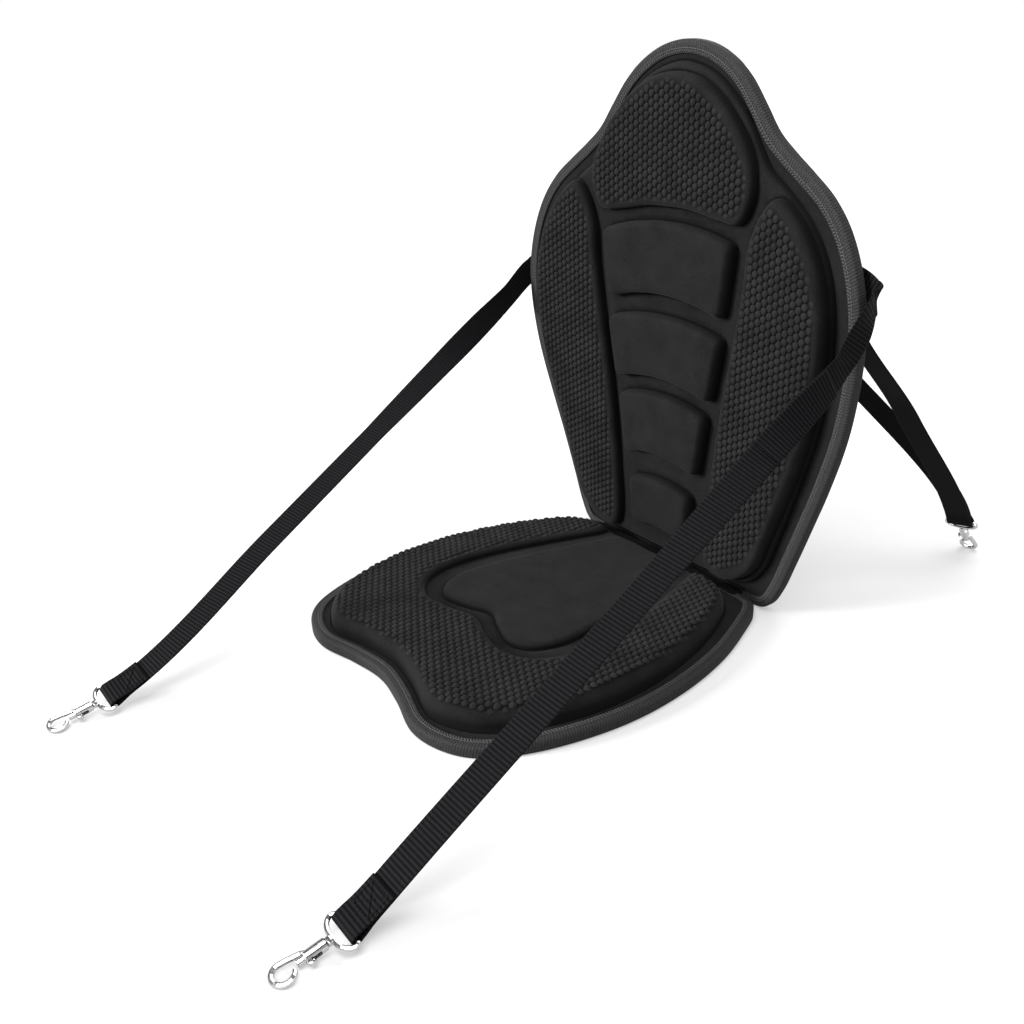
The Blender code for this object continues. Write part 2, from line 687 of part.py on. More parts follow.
def hook_body(name):
    """Cast hook with its barrel: bolt bore, thumb slot and the swivel's pocket."""
    cham = 0.0006
    body = add_object(name, *revolve([
        (0, BORE_TOP), (BORE_R, BORE_TOP), (BORE_R, BARREL_FOOT), (BARREL_R - cham, BARREL_FOOT),
        (BARREL_R, BARREL_FOOT + cham), (BARREL_R, BARREL_TOP - 2 * cham),
        (BARREL_R - 2 * cham, BARREL_TOP), (PIN_HOLE_R, BARREL_TOP), (PIN_HOLE_R, CAVITY[1]),
        (CAVITY_R, CAVITY[1]), (CAVITY_R, CAVITY[0]), (0, CAVITY[0])], 24), NICKEL)
    half = STUD_R + 0.0003
    slot = box((0, -half, STUD_AT - half), (BARREL_R + 0.002, half, STUD_AT + BOLT_TRAVEL + half))
    combine(body, slot, "DIFFERENCE")
    line = hook_line()
    radii = [HOOK_WIRE * min(1, 0.72 + 0.14 * k) for k in range(len(line))]
    radii[-1] = HOOK_WIRE * 0.55
    hook = add_object("tool", *tube(line, HOOK_WIRE, radii=radii), NICKEL)
    return combine(body, hook, "UNION")


def bolt(name):
    """Spring bolt with its blind spring hole and thumb stud."""
    cham = 0.0004
    made = add_object(name, *revolve([
        (0, BOLT_FOOT), (BOLT_R - cham, BOLT_FOOT), (BOLT_R, BOLT_FOOT + cham), (BOLT_R, BOLT_TOP),
        (SPRING_HOLE, BOLT_TOP), (SPRING_HOLE, BOLT_FOOT + BOLT_FLOOR), (0, BOLT_FOOT + BOLT_FLOOR)]),
        NICKEL)
    root = (BOLT_R + SPRING_HOLE) / 2
    stud = turned([(0, root), (STUD_R, root), (STUD_R, BARREL_R + .0010), (KNOB_R, BARREL_R + .0012),
                   (KNOB_R, BARREL_R + .0022), (KNOB_R * .8, BARREL_R + .0029),
                   (0, BARREL_R + .0031)], at=(0, 0, STUD_AT), about_x=True)
    return combine(made, stud, "UNION")


def spring(name):
    """Coil spring between the bolt's hole and the end of the bore."""
    low = BOLT_FOOT + BOLT_FLOOR + CLEAR + SPRING_WIRE
    high = BORE_TOP - CLEAR - SPRING_WIRE
    steps = SPRING_TURNS * 6
    line = [Vector((SPRING_R * math.cos(math.pi * k / 3), SPRING_R * math.sin(math.pi * k / 3),
                    low + (high - low) * k / steps)) for k in range(steps + 1)]
    return add_object(name, *tube(line, SPRING_WIRE, sides=4), SPRING_STEEL)


def swivel_eye(name):
    """Eye with a straight strap bar and a riveted pin that turns in the barrel's end."""
    half = [(0.0, .0446), (.0065, .0449), (.0115, .0470), (.0143, .0500), (EYE_HALF, .0524),
            (.0142, .0545), (.0125, EYE_BAR), (.0060, EYE_BAR), (0, EYE_BAR)]
    loop = mirrored(half)
    count = len(loop)
    line = []
    for k in range(count):
        picks = [loop[(k + j) % count] for j in (-1, 0, 1, 2)]
        line += [Vector((p[0], 0, p[1])) for p in (outline_point(*picks, i / 2) for i in range(2))]
    eye = add_object(name, *tube(line, EYE_WIRE, closed=True), NICKEL)
    seat = BARREL_TOP + CLEAR
    head = CAVITY_R - 0.0004
    pin = turned([(0, CAVITY[0] + CLEAR), (head, CAVITY[0] + CLEAR), (head, CAVITY[1] - CLEAR),
                  (PIN_R, CAVITY[1] - CLEAR), (PIN_R, seat), (.0034, seat), (.0036, seat + .0005),
                  (.0034, seat + .0020), (.0026, .0446), (0, .0446)])
    return combine(eye, pin, "UNION")


def build_snap(snap, frame):
    """Place the four pieces of one snap; every origin lies on the swivel's axis."""
    pieces = [hook_body(f"{snap.name}_snap_hook"), bolt(f"{snap.name}_snap_bolt"),
              spring(f"{snap.name}_snap_spring"), swivel_eye(f"{snap.name}_snap_eye")]
    for piece in pieces:
        piece.matrix_world = frame


for leftover in list(bpy.data.objects):
    bpy.data.objects.remove(leftover)

seat_edge = smooth_loop(mirrored(SEAT_EDGE))
seat_body = smooth_loop(mirrored(SEAT_BODY))
seat_channel = smooth_loop(mirrored(SEAT_CHANNEL))
seat_centre = smooth_loop(mirrored(SEAT_CENTRE))
back_edge = smooth_loop(mirrored(BACK_EDGE))
back_body = smooth_loop(mirrored(BACK_BODY))
head_pad = smooth_loop(mirrored(HEAD_PAD))
wing_pads = [smooth_loop([(side * u, v) for u, v in WING_PAD]) for side in (-1, 1)]
lumbar_pads = [lumbar_loop(pad) for pad in LUMBAR_PADS]


def main():
    seat_rings = (shoulder(seat_body, SEAT_ROUND) + shoulder(seat_channel, PAD_ROUND, outwards=True)
                  + shoulder(seat_centre, PAD_ROUND))
    panel("seat_panel", seat_edge, seat_rings, seat_height, seat_place)
    rim_tape("seat_rim_tape", seat_edge, seat_place)
    back_rings = shoulder(back_body, BODY_ROUND)
    for loop in [head_pad, *wing_pads, *lumbar_pads]:
        back_rings += shoulder(loop, PAD_ROUND)
    panel("backrest_panel", back_edge, back_rings, back_height, back_place)
    rim_tape("backrest_rim_tape", back_edge, back_place)
    hinge_strip()
    for side, name in ((-1, "left"), (1, "right")):
        u0, u1, v0, v1 = PATCH
        patch(f"strap_patch_{name}", (min(side * u0, side * u1), max(side * u0, side * u1), v0, v1))
    patch("strap_patch_middle", CENTRE_PATCH)
    frames = {}
    for snap in SNAPS:
        frames[snap.name] = snap_frame(snap)
        build_snap(snap, frames[snap.name])
    build_front_straps(frames)
    build_rear_strap(frames["rear"])


main()
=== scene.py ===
"""Looks of a moulded foam kayak seat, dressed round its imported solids.

Metres, Z up. X runs across the seat and +Y points to the rear. A panel is drawn flat as
(u, v, h): u across, v away from the hinge edge, h out of the panel's plain face.
"""
import logging
import math
from dataclasses import dataclass, field
from enum import Enum
from typing import Callable, Sequence

import bmesh
import bpy
import numpy as np
from bpy.types import Material, Mesh, Node, NodeSocket, NodeTree, Object
from mathutils import Matrix, Vector
from mathutils.geometry import delaunay_2d_cdt


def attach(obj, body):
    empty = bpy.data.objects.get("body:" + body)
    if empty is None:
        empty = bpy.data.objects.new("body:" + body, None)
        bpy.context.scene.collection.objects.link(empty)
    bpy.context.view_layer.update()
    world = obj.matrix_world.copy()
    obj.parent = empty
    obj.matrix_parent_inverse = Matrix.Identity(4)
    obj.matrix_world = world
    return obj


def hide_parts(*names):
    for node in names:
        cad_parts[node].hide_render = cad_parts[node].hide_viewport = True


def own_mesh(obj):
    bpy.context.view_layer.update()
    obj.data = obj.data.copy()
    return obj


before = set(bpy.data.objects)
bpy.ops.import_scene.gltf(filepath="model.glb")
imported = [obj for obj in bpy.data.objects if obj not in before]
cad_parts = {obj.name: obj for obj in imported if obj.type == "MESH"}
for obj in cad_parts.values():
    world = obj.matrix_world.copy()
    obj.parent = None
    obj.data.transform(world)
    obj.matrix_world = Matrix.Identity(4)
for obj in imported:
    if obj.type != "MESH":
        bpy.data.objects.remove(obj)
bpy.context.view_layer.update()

LOG = logging.getLogger("kayak_seat")
BODY = "seat"

Point = tuple[float, float]
Loop = list[Point]


class Side(Enum):
    """Which side of the seat a piece is on, as the sign of its x."""

    LEFT = -1
    RIGHT = 1


# Finishes

class Graph:
    """A node tree that is built node by node."""

    def __init__(self, tree: NodeTree) -> None:
        """Take the tree to build in."""
        self.tree = tree

    def node(self, kind: str, inputs: dict | None = None, **settings: object) -> Node:
        """Add a node, with its settings made before its inputs.

        Args:
            kind: The node's type name.
            inputs: Input name or number to a value, or to the socket that feeds it.
            settings: Attributes of the node, such as its data type.

        Returns:
            The new node.
        """
        node = self.tree.nodes.new(kind)
        for key, value in settings.items():
            setattr(node, key, value)
        for key, value in (inputs or {}).items():
            if isinstance(value, NodeSocket):
                self.tree.links.new(value, node.inputs[key])
            else:
                node.inputs[key].default_value = value
        return node

    def maths(self, operation: str, *values: object) -> NodeSocket:
        """Add a math node on numbers or sockets and return its result."""
        return self.node("ShaderNodeMath", dict(enumerate(values)), operation=operation).outputs[0]


class Look(Graph):
    """A material with a Principled shader that is fed node by node."""

    def __init__(self, name: str, colour: Sequence[float], roughness: float,
                 more: dict | None = None) -> None:
        """Make the material.

        Args:
            name: The material's name.
            colour: Linear red, green and blue.
            roughness: Roughness of the surface.
            more: Values of the shader's other inputs.
        """
        self.material = bpy.data.materials.new(name)
        self.material.use_nodes = True
        self.material.diffuse_color = (*colour, 1)
        super().__init__(self.material.node_tree)
        self.shader = self.tree.nodes["Principled BSDF"]
        for key, value in {"Base Color": (*colour, 1), "Roughness": roughness, **(more or {})}.items():
            self.shader.inputs[key].default_value = value

    def coordinates(self, kind: str = "Object") -> NodeSocket:
        """Return the coordinates of the piece itself."""
        return self.node("ShaderNodeTexCoord").outputs[kind]

    def noise(self, scale: float, detail: float, roughness: float = 0.5) -> NodeSocket:
        """Return noise from 0 to 1 in Object coordinates."""
        return self.node("ShaderNodeTexNoise", {
            "Vector": self.coordinates(), "Scale": scale, "Detail": detail,
            "Roughness": roughness}).outputs["Fac"]

    def feed(self, name: str, value: NodeSocket) -> None:
        """Feed one of the shader's inputs."""
        self.tree.links.new(value, self.shader.inputs[name])

    def dye(self, share: NodeSocket, dark: Sequence[float], light: Sequence[float]) -> None:
        """Colour the shader between two linear colours by a share from 0, dark, to 1, light."""
        mix = self.node("ShaderNodeMix", {0: share, 6: (*dark, 1), 7: (*light, 1)}, data_type="RGBA")
        self.feed("Base Color", mix.outputs[2])

    def emboss(self, height: NodeSocket, depth: float, strength: float) -> None:
        """Give the shader the normal of a height from 0 to 1.

        Args:
            height: The height.
            depth: Its real depth in metres.
            strength: How strongly it shows.
        """
        self.feed("Normal", self.node("ShaderNodeBump", {
            "Strength": strength, "Distance": depth, "Height": height}).outputs[0])


@dataclass(frozen=True)
class KnitFinish:
    """Stretch knit laminated over foam: a fine grain, cloudy tone and soft sheen, with painted shade along
    its creases and between its bumps.
    """

    name: str
    dark: tuple[float, float, float]
    light: tuple[float, float, float]
    loops_per_metre: float = 1500.0
    mottle_per_metre: float = 620.0
    clouds_per_metre: float = 38.0
    roughness: float = 0.92
    grain_depth: float = 0.00022
    sheen: float = 0.02
    shade: float = 0.95

    def make(self) -> Material:
        """Return the knit material, read in Object coordinates."""
        look = Look(self.name, self.dark, self.roughness, {
            "Sheen Weight": self.sheen, "Sheen Roughness": 0.45, "Specular IOR Level": 0.03})
        grain = look.node("ShaderNodeTexVoronoi", {
            "Vector": look.coordinates(), "Scale": self.loops_per_metre}).outputs["Distance"]
        clouds = look.noise(self.clouds_per_metre, 3.0)
        mottle = look.noise(self.mottle_per_metre, 4.0, 0.7)
        tone = look.maths("MULTIPLY_ADD", clouds, 0.5, look.maths("MULTIPLY", mottle, 0.65))
        share = look.maths("MULTIPLY_ADD", grain, -0.35, tone)
        # Painted shade: the colour darkens by a value stored on the mesh, along the creased outlines and
        # between the bumps.
        pressed = look.node("ShaderNodeAttribute", attribute_name="cloth_shade").outputs["Fac"]
        lit = look.maths("MULTIPLY_ADD", pressed, -self.shade, 1.0)
        look.dye(look.maths("MULTIPLY", share, lit), self.dark, self.light)
        look.emboss(look.maths("MULTIPLY_ADD", mottle, 0.8, grain), self.grain_depth, 0.6)
        return look.material


@dataclass(frozen=True)
class WovenFinish:
    """Woven tape or webbing: ribs and a twill with painted highlight and shade, read from the piece's own
    UV map in metres.
    """

    name: str
    dark: tuple[float, float, float]
    light: tuple[float, float, float]
    rib_pitch: float
    thread_pitch: float
    slant: float = 0.0
    rib_share: float = 0.2
    roughness: float = 0.7
    depth: float = 0.00025
    sheen: float = 0.012
    wear_per_metre: float = 900.0

    def make(self) -> Material:
        """Return the woven material."""
        look = Look(self.name, self.dark, self.roughness, {
            "Sheen Weight": self.sheen, "Sheen Roughness": 0.4, "Specular IOR Level": 0.03})
        uv = look.node("ShaderNodeSeparateXYZ", {"Vector": look.coordinates("UV")}).outputs
        along = look.maths("MULTIPLY_ADD", uv[1], self.slant, uv[0])
        ribs, threads = (look.maths("SINE", look.maths("MULTIPLY", way, 2 * math.pi / pitch))
                         for way, pitch in ((along, self.rib_pitch), (uv[1], self.thread_pitch)))
        weave = look.maths("MULTIPLY", ribs, threads)
        height = look.maths("MULTIPLY_ADD", weave, 0.5 - self.rib_share,
                            look.maths("MULTIPLY_ADD", ribs, self.rib_share, 0.5))
        worn = look.maths("MULTIPLY", look.noise(self.wear_per_metre, 3.0), 1.5)
        # The colour follows the weave's height, lighter on the ribs and darker in the hollows between
        # threads, as painted highlight and shade. Random wear noise lies over it.
        look.dye(look.maths("MULTIPLY", height, worn), self.dark, self.light)
        look.emboss(height, self.depth, 0.8)
        return look.material


@dataclass(frozen=True)
class MetalFinish:
    """Plated or drawn metal with faint handling marks."""

    name: str
    colour: tuple[float, float, float]
    roughness: float
    mark_depth: float = 0.00004
    marks_per_metre: float = 260.0

    def make(self) -> Material:
        """Return the metal material, read in Object coordinates."""
        look = Look(self.name, self.colour, self.roughness, {"Metallic": 1.0})
        marks = look.noise(self.marks_per_metre, 5.0)
        look.feed("Roughness", look.maths("MULTIPLY_ADD", marks, 0.16, self.roughness - 0.06))
        look.emboss(marks, self.mark_depth, 0.25)
        return look.material


@dataclass(frozen=True)
class PlainFinish:
    """Thread or coated cloth with a slight grain."""

    name: str
    colour: tuple[float, float, float]
    roughness: float
    grain_per_metre: float = 700.0
    grain_depth: float = 0.0001
    contrast: float = 2.2

    def make(self) -> Material:
        """Return the material, read in Object coordinates."""
        look = Look(self.name, self.colour, self.roughness, {"Specular IOR Level": 0.08})
        grain = look.noise(self.grain_per_metre, 3.0)
        look.dye(grain, self.colour, tuple(c * self.contrast for c in self.colour))
        look.emboss(grain, self.grain_depth, 0.4)
        return look.material


@dataclass(frozen=True)
class Finishes:
    """Every material of the seat, made once."""

    knit: Material
    # the lighter copy of the knit for the bumps, as painted highlight
    bump_knit: Material
    tape: Material
    ribbed: Material
    twill: Material
    thread: Material
    black_thread: Material
    hinge: Material
    nickel: Material
    spring: Material

    @classmethod
    def make(cls) -> "Finishes":
        """Make all the finishes."""
        return cls(
            knit=KnitFinish("black_knit", (0.0008, 0.0008, 0.0009), (0.0112, 0.0112, 0.0115)).make(),
            # A lighter copy of the knit for the bumps: painted highlight on the domes.
            bump_knit=KnitFinish("stretched_knit", (0.0006, 0.0006, 0.0007),
                                 (0.0175, 0.0175, 0.0178)).make(),
            tape=WovenFinish("rim_tape_weave", (0.0006, 0.0006, 0.0007), (0.036, 0.036, 0.037),
                             0.0026, 0.0022, slant=0.2).make(),
            ribbed=WovenFinish("ribbed_webbing", (0.0001, 0.0001, 0.0002), (0.0058, 0.0060, 0.0067),
                               0.0033, 0.0009, rib_share=0.42, depth=0.0003).make(),
            twill=WovenFinish("plain_webbing", (0.0008, 0.0008, 0.0011), (0.0068, 0.0070, 0.0080),
                              0.0016, 0.0012, slant=0.8, depth=0.00015).make(),
            thread=PlainFinish("grey_thread", (0.024, 0.024, 0.025), 0.6).make(),
            black_thread=PlainFinish("black_thread", (0.0008, 0.0008, 0.0010), 0.8).make(),
            hinge=PlainFinish("hinge_coated_cloth", (0.003, 0.003, 0.0034), 0.38, 160.0).make(),
            nickel=MetalFinish("bright_nickel", (0.50, 0.495, 0.49), 0.15).make(),
            spring=MetalFinish("drawn_wire", (0.55, 0.55, 0.56), 0.3).make())


# Outlines

def mirrored(half: Sequence[Point]) -> Loop:
    """Close a half outline with its mirror image."""
    return list(half) + [(-u, v) for u, v in reversed(half) if u > 1e-6]


def neighbours(loop: Sequence) -> zip:
    """Return each pair of neighbours round a closed loop."""
    return zip(loop, loop[1:] + loop[:1])


def counter_clockwise(loop: Loop) -> Loop:
    """Return the loop turned counter-clockwise."""
    area = sum(a[0] * b[1] - b[0] * a[1] for a, b in neighbours(loop))
    return loop if area > 0 else loop[::-1]


def outline_point(p0: Point, p1: Point, p2: Point, p3: Point, t: float) -> Point:
    """Return the Catmull-Rom point between p1 and p2."""
    return tuple(0.5 * (2 * b + (c - a) * t + (2 * a - 5 * b + 4 * c - d) * t * t
                        + (3 * b - a - 3 * c + d) * t ** 3) for a, b, c, d in zip(p0, p1, p2, p3))


def even_loop(loop: Loop, step: float) -> Loop:
    """Space a closed loop's points evenly.

    Args:
        loop: The points of a closed line.
        step: The distance wanted between points.
    """
    lengths = [math.dist(a, b) for a, b in neighbours(loop)]
    count = max(12, round(sum(lengths) / step))
    spaced, walked, at = [], 0.0, 0
    for k in range(count):
        target = sum(lengths) * k / count
        while walked + lengths[at] < target:
            walked += lengths[at]
            at += 1
        share = (target - walked) / lengths[at]
        a, b = loop[at], loop[(at + 1) % len(loop)]
        spaced.append(tuple(x + (y - x) * share for x, y in zip(a, b)))
    return spaced


def smooth_loop(points: Sequence[Point], step: float) -> Loop:
    """Draw a smooth, evenly spaced, counter-clockwise outline through the points."""
    points = counter_clockwise(list(points))
    count = len(points)
    fine = [outline_point(*(points[(k + j) % count] for j in (-1, 0, 1, 2)), i / 16)
            for k in range(count) for i in range(16)]
    return even_loop(fine, step)


def inset(loop: Loop, distance: float) -> Loop:
    """Move each point of a counter-clockwise loop inwards."""
    moved = []
    for before, here, after in zip(loop[-1:] + loop[:-1], loop, loop[1:] + loop[:1]):
        along = Vector((after[0] - before[0], after[1] - before[1])).normalized()
        moved.append((here[0] - along.y * distance, here[1] + along.x * distance))
    return moved


def depth_inside(loop: Loop, points: np.ndarray) -> np.ndarray:
    """Measure how far each point lies inside a loop.

    Args:
        loop: A closed outline.
        points: Rows of (u, v).

    Returns:
        One distance for each point, negative outside.
    """
    depths = []
    a = np.array(loop)
    b = np.roll(a, -1, 0)
    run = b - a
    slope = np.where(abs(run[:, 1]) < 1e-12, 1e-12, run[:, 1])
    for part in np.array_split(np.array(points), max(1, len(points) // 4000)):
        p = part[:, None, :]
        share = np.clip(((p - a) * run).sum(2) / (run ** 2).sum(1), 0, 1)
        away = np.linalg.norm(p - a - share[..., None] * run, axis=2).min(1)
        straddles = (a[:, 1] > p[..., 1]) != (b[:, 1] > p[..., 1])
        crosses = p[..., 0] < a[:, 0] + (p[..., 1] - a[:, 1]) / slope * run[:, 0]
        inside = (straddles & crosses).sum(1) % 2 == 1
        depths.append(np.where(inside, away, -away))
    return np.concatenate(depths)


def rise(distance: np.ndarray, run: float) -> np.ndarray:
    """Return a quarter-round step from 0 to 1 over the run."""
    t = np.clip(distance / run, 0, 1)
    return np.sqrt(1 - (1 - t) ** 2)


def stepped(low: float, high: float, distance: np.ndarray, run: float) -> np.ndarray:
    """Return the height of a round step between two levels."""
    return low + (high - low) * rise(distance, run)


def eased(distance: np.ndarray, run: float) -> np.ndarray:
    """Return a smooth step from 0 to 1 over the run."""
    t = np.clip(distance / run, 0, 1)
    return t * t * (3 - 2 * t)


# Meshes

def added(name: str, data: bpy.types.ID) -> Object:
    """Put a mesh, light or camera into the scene."""
    made = bpy.data.objects.new(name, data)
    bpy.context.scene.collection.objects.link(made)
    return made


def store(owner: Object, name: str, values: Sequence) -> None:
    """Store a number or a vector for each point of a mesh."""
    rows = np.array(values, np.float32)
    kind, key = ("FLOAT", "value") if rows.ndim == 1 else ("FLOAT_VECTOR", "vector")
    owner.data.attributes.new(name, kind, "POINT").data.foreach_set(key, rows.ravel())


def swept_faces(rings: int, sides: int, closed: bool = False) -> list[tuple[int, ...]]:
    """Return the faces between the rings of points of a swept shape.

    Args:
        rings: How many rings there are.
        sides: How many points each has.
        closed: Whether the last ring meets the first, instead of two end faces.
    """
    faces = []
    for k in range(rings if closed else rings - 1):
        a, b = k * sides, (k + 1) % rings * sides
        faces += [(a + i, a + (i + 1) % sides, b + (i + 1) % sides, b + i) for i in range(sides)]
    if not closed:
        faces += [tuple(reversed(range(sides))), tuple(range((rings - 1) * sides, rings * sides))]
    return faces


def squared(vector: Vector, to: Vector) -> Vector:
    """Return the direction of a vector's part that is square to another."""
    return (vector - to * vector.dot(to)).normalized()


def mesh_object(name: str, verts: Sequence, faces: Sequence, material: Material,
                uv: Sequence[Point] | None = None) -> Object:
    """Make a smooth-shaded mesh object at the origin.

    Args:
        name: The object's name.
        verts: Points in metres.
        faces: Tuples of point numbers.
        material: Its finish.
        uv: A map position for each point, in metres.

    Returns:
        The new object.
    """
    mesh = bpy.data.meshes.new(name)
    mesh.from_pydata([tuple(v) for v in verts], [], [tuple(f) for f in faces])
    if uv is not None:
        layer = mesh.uv_layers.new(name="UVMap")
        at = np.array(uv, np.float32)
        corners = np.zeros(len(mesh.loops), np.int32)
        mesh.loops.foreach_get("vertex_index", corners)
        layer.data.foreach_set("uv", at[corners].ravel())
    turn_outwards(mesh)
    mesh.materials.append(material)
    mesh.shade_smooth()
    return added(name, mesh)


def turn_outwards(mesh: Mesh) -> None:
    """Turn the faces of a closed mesh outwards."""
    work = bmesh.new()
    work.from_mesh(mesh)
    bmesh.ops.recalc_face_normals(work, faces=work.faces)
    if work.calc_volume(signed=True) < 0:
        bmesh.ops.reverse_faces(work, faces=work.faces)
    work.to_mesh(mesh)
    work.free()


def baked(owner: Object, name: str) -> Object:
    """Turn what a Geometry Nodes modifier makes into a plain mesh piece.

    Args:
        owner: The object that carries the modifier, which is then removed.
        name: The new piece's name.

    Returns:
        The new piece.
    """
    depsgraph = bpy.context.evaluated_depsgraph_get()
    mesh = bpy.data.meshes.new_from_object(owner.evaluated_get(depsgraph), depsgraph=depsgraph)
    mesh.name = name
    made = added(name, mesh)
    owner.modifiers.clear()
    return made


class NodeRecipe(Graph):
    """A Geometry Nodes tree with named inputs, built link by link."""

    def __init__(self, name: str) -> None:
        """Start an empty tree that takes and gives geometry."""
        super().__init__(bpy.data.node_groups.new(name, "GeometryNodeTree"))
        for way in ("INPUT", "OUTPUT"):
            self.tree.interface.new_socket("Geometry", in_out=way, socket_type="NodeSocketGeometry")
        self.values: dict[str, object] = {}
        self.start = self.tree.nodes.new("NodeGroupInput")

    def given(self, name: str, value: float | Material) -> NodeSocket:
        """Add a named number or material and return its socket in the tree."""
        kind = "Material" if isinstance(value, Material) else "Float"
        self.tree.interface.new_socket(name, in_out="INPUT", socket_type=f"NodeSocket{kind}")
        self.values[name] = value
        return self.start.outputs[name]

    def vector(self, x: object, y: object, z: object) -> NodeSocket:
        """Combine three numbers or sockets to a vector."""
        return self.node("ShaderNodeCombineXYZ", {0: x, 1: y, 2: z}).outputs[0]

    def named(self, name: str, kind: str = "FLOAT") -> NodeSocket:
        """Read what is stored for each point under a name."""
        return self.node("GeometryNodeInputNamedAttribute", {"Name": name}, data_type=kind).outputs[0]

    def ball(self, segments: int, rings: int) -> NodeSocket:
        """Make a ball with a radius of one metre."""
        return self.node("GeometryNodeMeshUVSphere", {
            "Segments": segments, "Rings": rings, "Radius": 1.0}).outputs["Mesh"]

    def without(self, geometry: NodeSocket, value: NodeSocket, limit: float) -> NodeSocket:
        """Delete the points whose value is below a limit."""
        low = self.node("FunctionNodeCompare", {0: value, 1: limit}, data_type="FLOAT",
                        operation="LESS_THAN")
        return self.node("GeometryNodeDeleteGeometry", {
            "Geometry": geometry, "Selection": low.outputs[0]}, domain="POINT").outputs[0]

    def scatter(self, points: NodeSocket, shape: NodeSocket,
                facing: NodeSocket, size: NodeSocket) -> NodeSocket:
        """Set a copy of a shape on each point, turned so that its Z faces one way."""
        turned = self.node("FunctionNodeAlignRotationToVector", {"Vector": facing}, axis="Z")
        return self.node("GeometryNodeInstanceOnPoints", {
            "Points": points, "Instance": shape, "Rotation": turned.outputs[0], "Scale": size}).outputs[0]

    def close(self, geometry: NodeSocket, material: NodeSocket) -> None:
        """End the tree in Realize Instances and Set Material."""
        real = self.node("GeometryNodeRealizeInstances", {"Geometry": geometry})
        smooth = self.node("GeometryNodeSetShadeSmooth", {"Geometry": real.outputs[0]})
        painted = self.node("GeometryNodeSetMaterial", {
            "Geometry": smooth.outputs[0], "Material": material})
        self.node("NodeGroupOutput", {0: painted.outputs[0]})

    def run(self, owner: Object, name: str) -> Object:
        """Run the tree on an object and return the result as a plain piece.

        Args:
            owner: The object whose geometry goes in.
            name: The result's name.
        """
        step = owner.modifiers.new(self.tree.name, "NODES")
        step.node_group = self.tree
        for item in self.tree.interface.items_tree:
            if item.item_type == "SOCKET" and item.in_out == "INPUT" and item.name in self.values:
                step[item.identifier] = self.values[item.name]
        return baked(owner, name)


# Thread

@dataclass(frozen=True)
class Stitch:
    """One stitch: its middle and the way that its thread runs."""

    at: Vector
    along: Vector


def sewn(name: str, stitches: Sequence[Stitch], thread: Material,
         length: float = 0.0030, radius: float = 0.00045) -> Object:
    """Lay a bead of thread at each stitch.

    Args:
        name: The piece's name.
        stitches: Where each lies.
        thread: The thread's finish.
        length: A stitch's length.
        radius: The thread's radius.

    Returns:
        All the stitches as one plain piece that rides on the seat.
    """
    mesh = bpy.data.meshes.new(f"{name}_spots")
    mesh.from_pydata([tuple(stitch.at) for stitch in stitches], [], [])
    spots = added(f"{name}_spots", mesh)
    store(spots, "run", [tuple(stitch.along) for stitch in stitches])
    recipe = NodeRecipe(f"{name}_recipe")
    long, thick = recipe.given("Stitch length", length), recipe.given("Thread radius", radius)
    paint = recipe.given("Thread", thread)
    size = recipe.vector(thick, thick, recipe.maths("MULTIPLY", long, 0.5))
    recipe.close(recipe.scatter(recipe.start.outputs["Geometry"], recipe.ball(6, 5),
                                recipe.named("run", "FLOAT_VECTOR"), size), paint)
    made = recipe.run(spots, name)
    bpy.data.objects.remove(spots)
    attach(made, BODY)
    return made


def box_stitches(corners: Sequence[Point], stand: Callable[[float, float], Vector],
                 pitch: float = 0.0029) -> list[Stitch]:
    """Sew round a rectangle and across it both ways.

    Args:
        corners: Its four corners, in order.
        stand: Puts a point of the flat piece in its place.
        pitch: The distance between stitches.
    """
    a, b, c, d = corners
    made = []
    for start, end in ((a, b), (b, c), (c, d), (d, a), (a, c), (b, d)):
        count = max(2, round(math.dist(start, end) / pitch))
        for k in range(count):
            here, ahead = (stand(*(p + (q - p) * (k + part) / count for p, q in zip(start, end)))
                           for part in (0.5, 0.6))
            made.append(Stitch(here, ahead - here))
    return made


# Foam panels

@dataclass
class Triangulation:
    """A flat region filled with triangles."""

    points: list
    faces: list
    edge: list


def triangulate(edge: Loop, rings: Sequence[Loop], fill: float) -> Triangulation:
    """Fill an outline with triangles that follow rings and a loose grid.

    Args:
        edge: The closed outline.
        rings: Loops inside it that the triangles follow.
        fill: The distance between the grid's points.

    Returns:
        Points, triangles and where the outline's own points are.
    """
    points, links = [], []
    for loop in [edge, *rings]:
        start = len(points)
        points += loop
        links += neighbours(list(range(start, len(points))))
    low, high = np.min(edge, 0), np.max(edge, 0)
    grid = np.array([(fill * (i + 0.5 * (j % 2)), fill * j * 0.9)
                     for i in range(math.floor(low[0] / fill), math.ceil(high[0] / fill) + 1)
                     for j in range(math.floor(low[1] / fill), math.ceil(high[1] / fill * 1.12) + 1)])

    def cell(point: Point) -> tuple[int, ...]:
        """Return the square of a grid a little finer than the fill that a point lies in."""
        return tuple(round(part / fill * 1.6) for part in point)

    taken = {cell(point) for point in points}
    free = [cell(point) not in taken for point in grid]
    inside = depth_inside(edge, grid) > fill * 0.4
    points += [tuple(p) for p in grid[np.array(free) & inside]]
    verts, _, faces, sources, *_ = delaunay_2d_cdt([Vector(p) for p in points], links, [], 1, 1e-7)
    place_of = {old: new for new, olds in enumerate(sources) for old in olds}
    return Triangulation([tuple(v) for v in verts], [tuple(f) for f in faces],
                         [place_of[k] for k in range(len(edge))])


